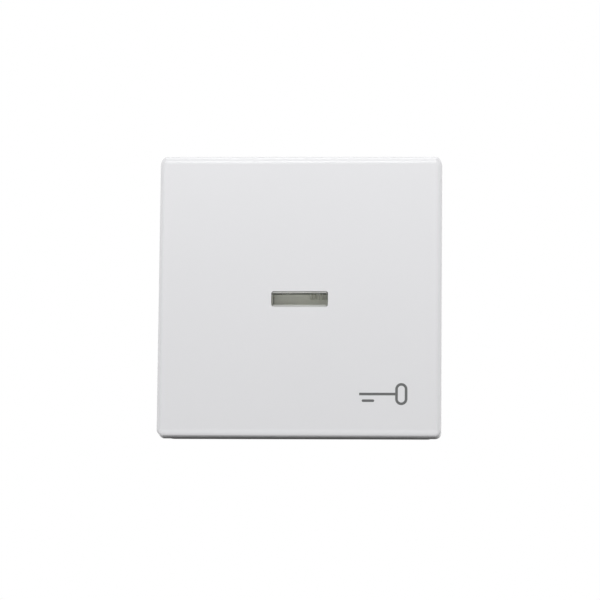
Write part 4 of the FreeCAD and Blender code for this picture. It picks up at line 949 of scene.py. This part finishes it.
class PUSH_ROCKER_OT_studio(Operator):
    """Floor, soft light, white surroundings and the camera"""
    bl_idname = "push_rocker.studio"
    bl_label = "Studio"

    def execute(self, context):
        self.floor()
        self.flag()
        self.surroundings(context)
        self.tube(context)
        self.camera(context)
        return {"FINISHED"}

    @staticmethod
    def sheet(name, material, width, depth, place):
        """A flat sheet that lies level, with its middle at a place."""
        form = bmesh.new()
        bmesh.ops.create_grid(form, x_segments=1, y_segments=1, size=0.5,
                              matrix=Matrix.Translation(place) @ Matrix.Diagonal((width, depth, 1, 1)))
        mesh = bpy.data.meshes.new(name)
        form.to_mesh(mesh)
        form.free()
        mesh.materials.append(material)
        piece = bpy.data.objects.new(name, mesh)
        bpy.context.scene.collection.objects.link(piece)
        return piece

    @staticmethod
    def plain(name, grey, glow=0.0):
        """A matt grey with a faint light of its own if given."""
        material = bpy.data.materials.new(name)
        material.use_nodes = True
        material.node_tree.nodes.clear()
        wiring = Wiring(material.node_tree)
        shade = wiring.add("ShaderNodeBsdfDiffuse", {"Color": (grey, grey, grey, 1.0)})
        light = wiring.add("ShaderNodeEmission", {"Strength": glow})
        both = wiring.add("ShaderNodeAddShader", {0: shade.outputs[0], 1: light.outputs[0]})
        wiring.add("ShaderNodeOutputMaterial", {"Surface": both.outputs[0]})
        return material

    def floor(self):
        """The pale floor, which only the camera sees: the surroundings light the pieces from below."""
        material = self.plain("Studio floor", FLOOR_GREY, FLOOR_GLOW)
        ground = self.sheet("studio_floor", material, FLOOR_SIDE, FLOOR_SIDE, (0, 0, FLOOR_HEIGHT))
        ground.visible_diffuse = ground.visible_glossy = False
        ground.visible_transmission = ground.visible_shadow = False

    def flag(self):
        """The black card that keeps light off the plate's underside, as the frame round it would."""
        low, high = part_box("rocker_cover")
        depth = (high.y - low.y) * FLAG_SHARE
        place = (0, high.y + FLAG_BEHIND - depth / 2, low.z - FLAG_GAP)
        material = self.plain("Black card", FLAG_GREY)
        card = self.sheet("studio_flag", material, high.x - low.x, depth, place)
        card.visible_camera = False

    @staticmethod
    def surroundings(context):
        """White to the camera. To the pieces, a room that is dim below and behind them."""
        studio = look().studio
        world = bpy.data.worlds.new("Studio surroundings")
        context.scene.world = world
        world.use_nodes = True
        world.node_tree.nodes.clear()
        wiring = Wiring(world.node_tree)
        toward = wiring.add("ShaderNodeTexCoord").outputs["Generated"]
        parts = wiring.add("ShaderNodeSeparateXYZ", {0: toward})
        rear = wiring.spread(parts.outputs[2], *HORIZON, studio.low, studio.behind)
        front = wiring.spread(parts.outputs[2], *HORIZON, studio.front_low, studio.front)
        forward = wiring.spread(parts.outputs[1], *REAR_TO_FRONT, 0.0, 1.0)
        even = wiring.add("ShaderNodeMix", {0: forward, 2: rear, 3: front}).outputs[0]
        beside = wiring.spread(wiring.calc("ABSOLUTE", parts.outputs[0]), *STRIP_SIDE, 1.0, 0.0)
        above = wiring.spread(parts.outputs[2], *STRIP_LOW, 0.0, studio.strip)
        near = wiring.spread(parts.outputs[1], *STRIP_REAR, 1.0, 0.0)
        strip = wiring.calc("MULTIPLY", wiring.calc("MULTIPLY", beside, above), near)
        strength = wiring.calc("ADD", even, strip)
        room = wiring.add("ShaderNodeBackground", {"Color": (1.0, 1.0, 1.0, 1.0), "Strength": strength})
        white = wiring.add("ShaderNodeBackground", {"Color": (1.0, 1.0, 1.0, 1.0), "Strength": 1.0})
        seen = wiring.add("ShaderNodeLightPath").outputs["Is Camera Ray"]
        mixed = wiring.add("ShaderNodeMixShader", {0: seen, 1: room.outputs[0], 2: white.outputs[0]})
        wiring.add("ShaderNodeOutputWorld", {"Surface": mixed.outputs[0]})

    @staticmethod
    def tube(context):
        """The soft tube near the plate's upper edge, which makes its upper half a little brighter."""
        light = bpy.data.lights.new("Tube light", "AREA")
        light.shape = "RECTANGLE"
        light.size, light.size_y = TUBE_SIZE
        light.energy = look().studio.tube
        lamp = bpy.data.objects.new("Tube light", light)
        context.scene.collection.objects.link(lamp)
        lamp.location = TUBE_PLACE
        lamp.rotation_euler = (-lamp.location).to_track_quat("-Z", "Y").to_euler()
        lamp.visible_camera = False

    @staticmethod
    def camera(context):
        """The camera, where it stood for the photo."""
        studio = look().studio
        target = Vector((0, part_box("rocker_cover")[0].y, 0))
        away = Vector((math.sin(studio.beside) * math.cos(studio.below),
                       -math.cos(studio.beside) * math.cos(studio.below), -math.sin(studio.below)))
        data = bpy.data.cameras.new("Photo view")
        data.sensor_width = FRAME_WIDTH
        data.lens = studio.lens
        data.clip_start, data.clip_end = SEES
        camera = bpy.data.objects.new("Photo view", data)
        context.scene.collection.objects.link(camera)
        camera.location = target + away * studio.distance
        level = (-away).to_track_quat("-Z", "Y").to_matrix()
        aim = target + level @ AIM_OFFSET
        facing = (aim - camera.location).to_track_quat("-Z", "Y").to_matrix().to_4x4()
        turned = facing @ Matrix.Rotation(studio.roll, 4, "Z")
        camera.rotation_euler = turned.to_euler()
        context.scene.camera = camera
        context.scene.view_settings.view_transform = "Standard"


class PUSH_ROCKER_PT_panel(Panel):
    """Lists the pieces and their looks"""
    bl_label = "Push rocker"
    bl_space_type = "VIEW_3D"
    bl_region_type = "UI"
    bl_category = "Push rocker"

    def draw(self, context):
        for name, kind in LOOKS:
            section = self.layout.box()
            section.label(text=name.capitalize())
            for prop in kind.__annotations__:
                section.prop(getattr(look(), name), prop)
        for step in STEPS:
            self.layout.operator(step.bl_idname)


STEPS = (
    PUSH_ROCKER_OT_studio, PUSH_ROCKER_OT_plate, PUSH_ROCKER_OT_sign, PUSH_ROCKER_OT_window,
    PUSH_ROCKER_OT_yoke, PUSH_ROCKER_OT_ring, PUSH_ROCKER_OT_housing, PUSH_ROCKER_OT_fasteners,
    PUSH_ROCKER_OT_claws, PUSH_ROCKER_OT_buttons, PUSH_ROCKER_OT_lamp, PUSH_ROCKER_OT_contacts,
)
CLASSES = tuple(kind for name, kind in LOOKS) + (PushRockerLook,) + STEPS + (PUSH_ROCKER_PT_panel,)


def register():
    for kind in CLASSES:
        bpy.utils.register_class(kind)
    bpy.types.Scene.push_rocker = PointerProperty(type=PushRockerLook)


def unregister():
    del bpy.types.Scene.push_rocker
    for kind in reversed(CLASSES):
        bpy.utils.unregister_class(kind)


def main():
    register()
    bpy.ops.push_rocker.studio()
    bpy.ops.push_rocker.plate()
    bpy.ops.push_rocker.sign()
    bpy.ops.push_rocker.window()
    bpy.ops.push_rocker.yoke()
    bpy.ops.push_rocker.ring()
    bpy.ops.push_rocker.housing()
    bpy.ops.push_rocker.fasteners()
    bpy.ops.push_rocker.claws()
    bpy.ops.push_rocker.buttons()
    bpy.ops.push_rocker.lamp()
    bpy.ops.push_rocker.contacts()
    bpy.context.view_layer.update()


if __name__ == "__main__":
    main()
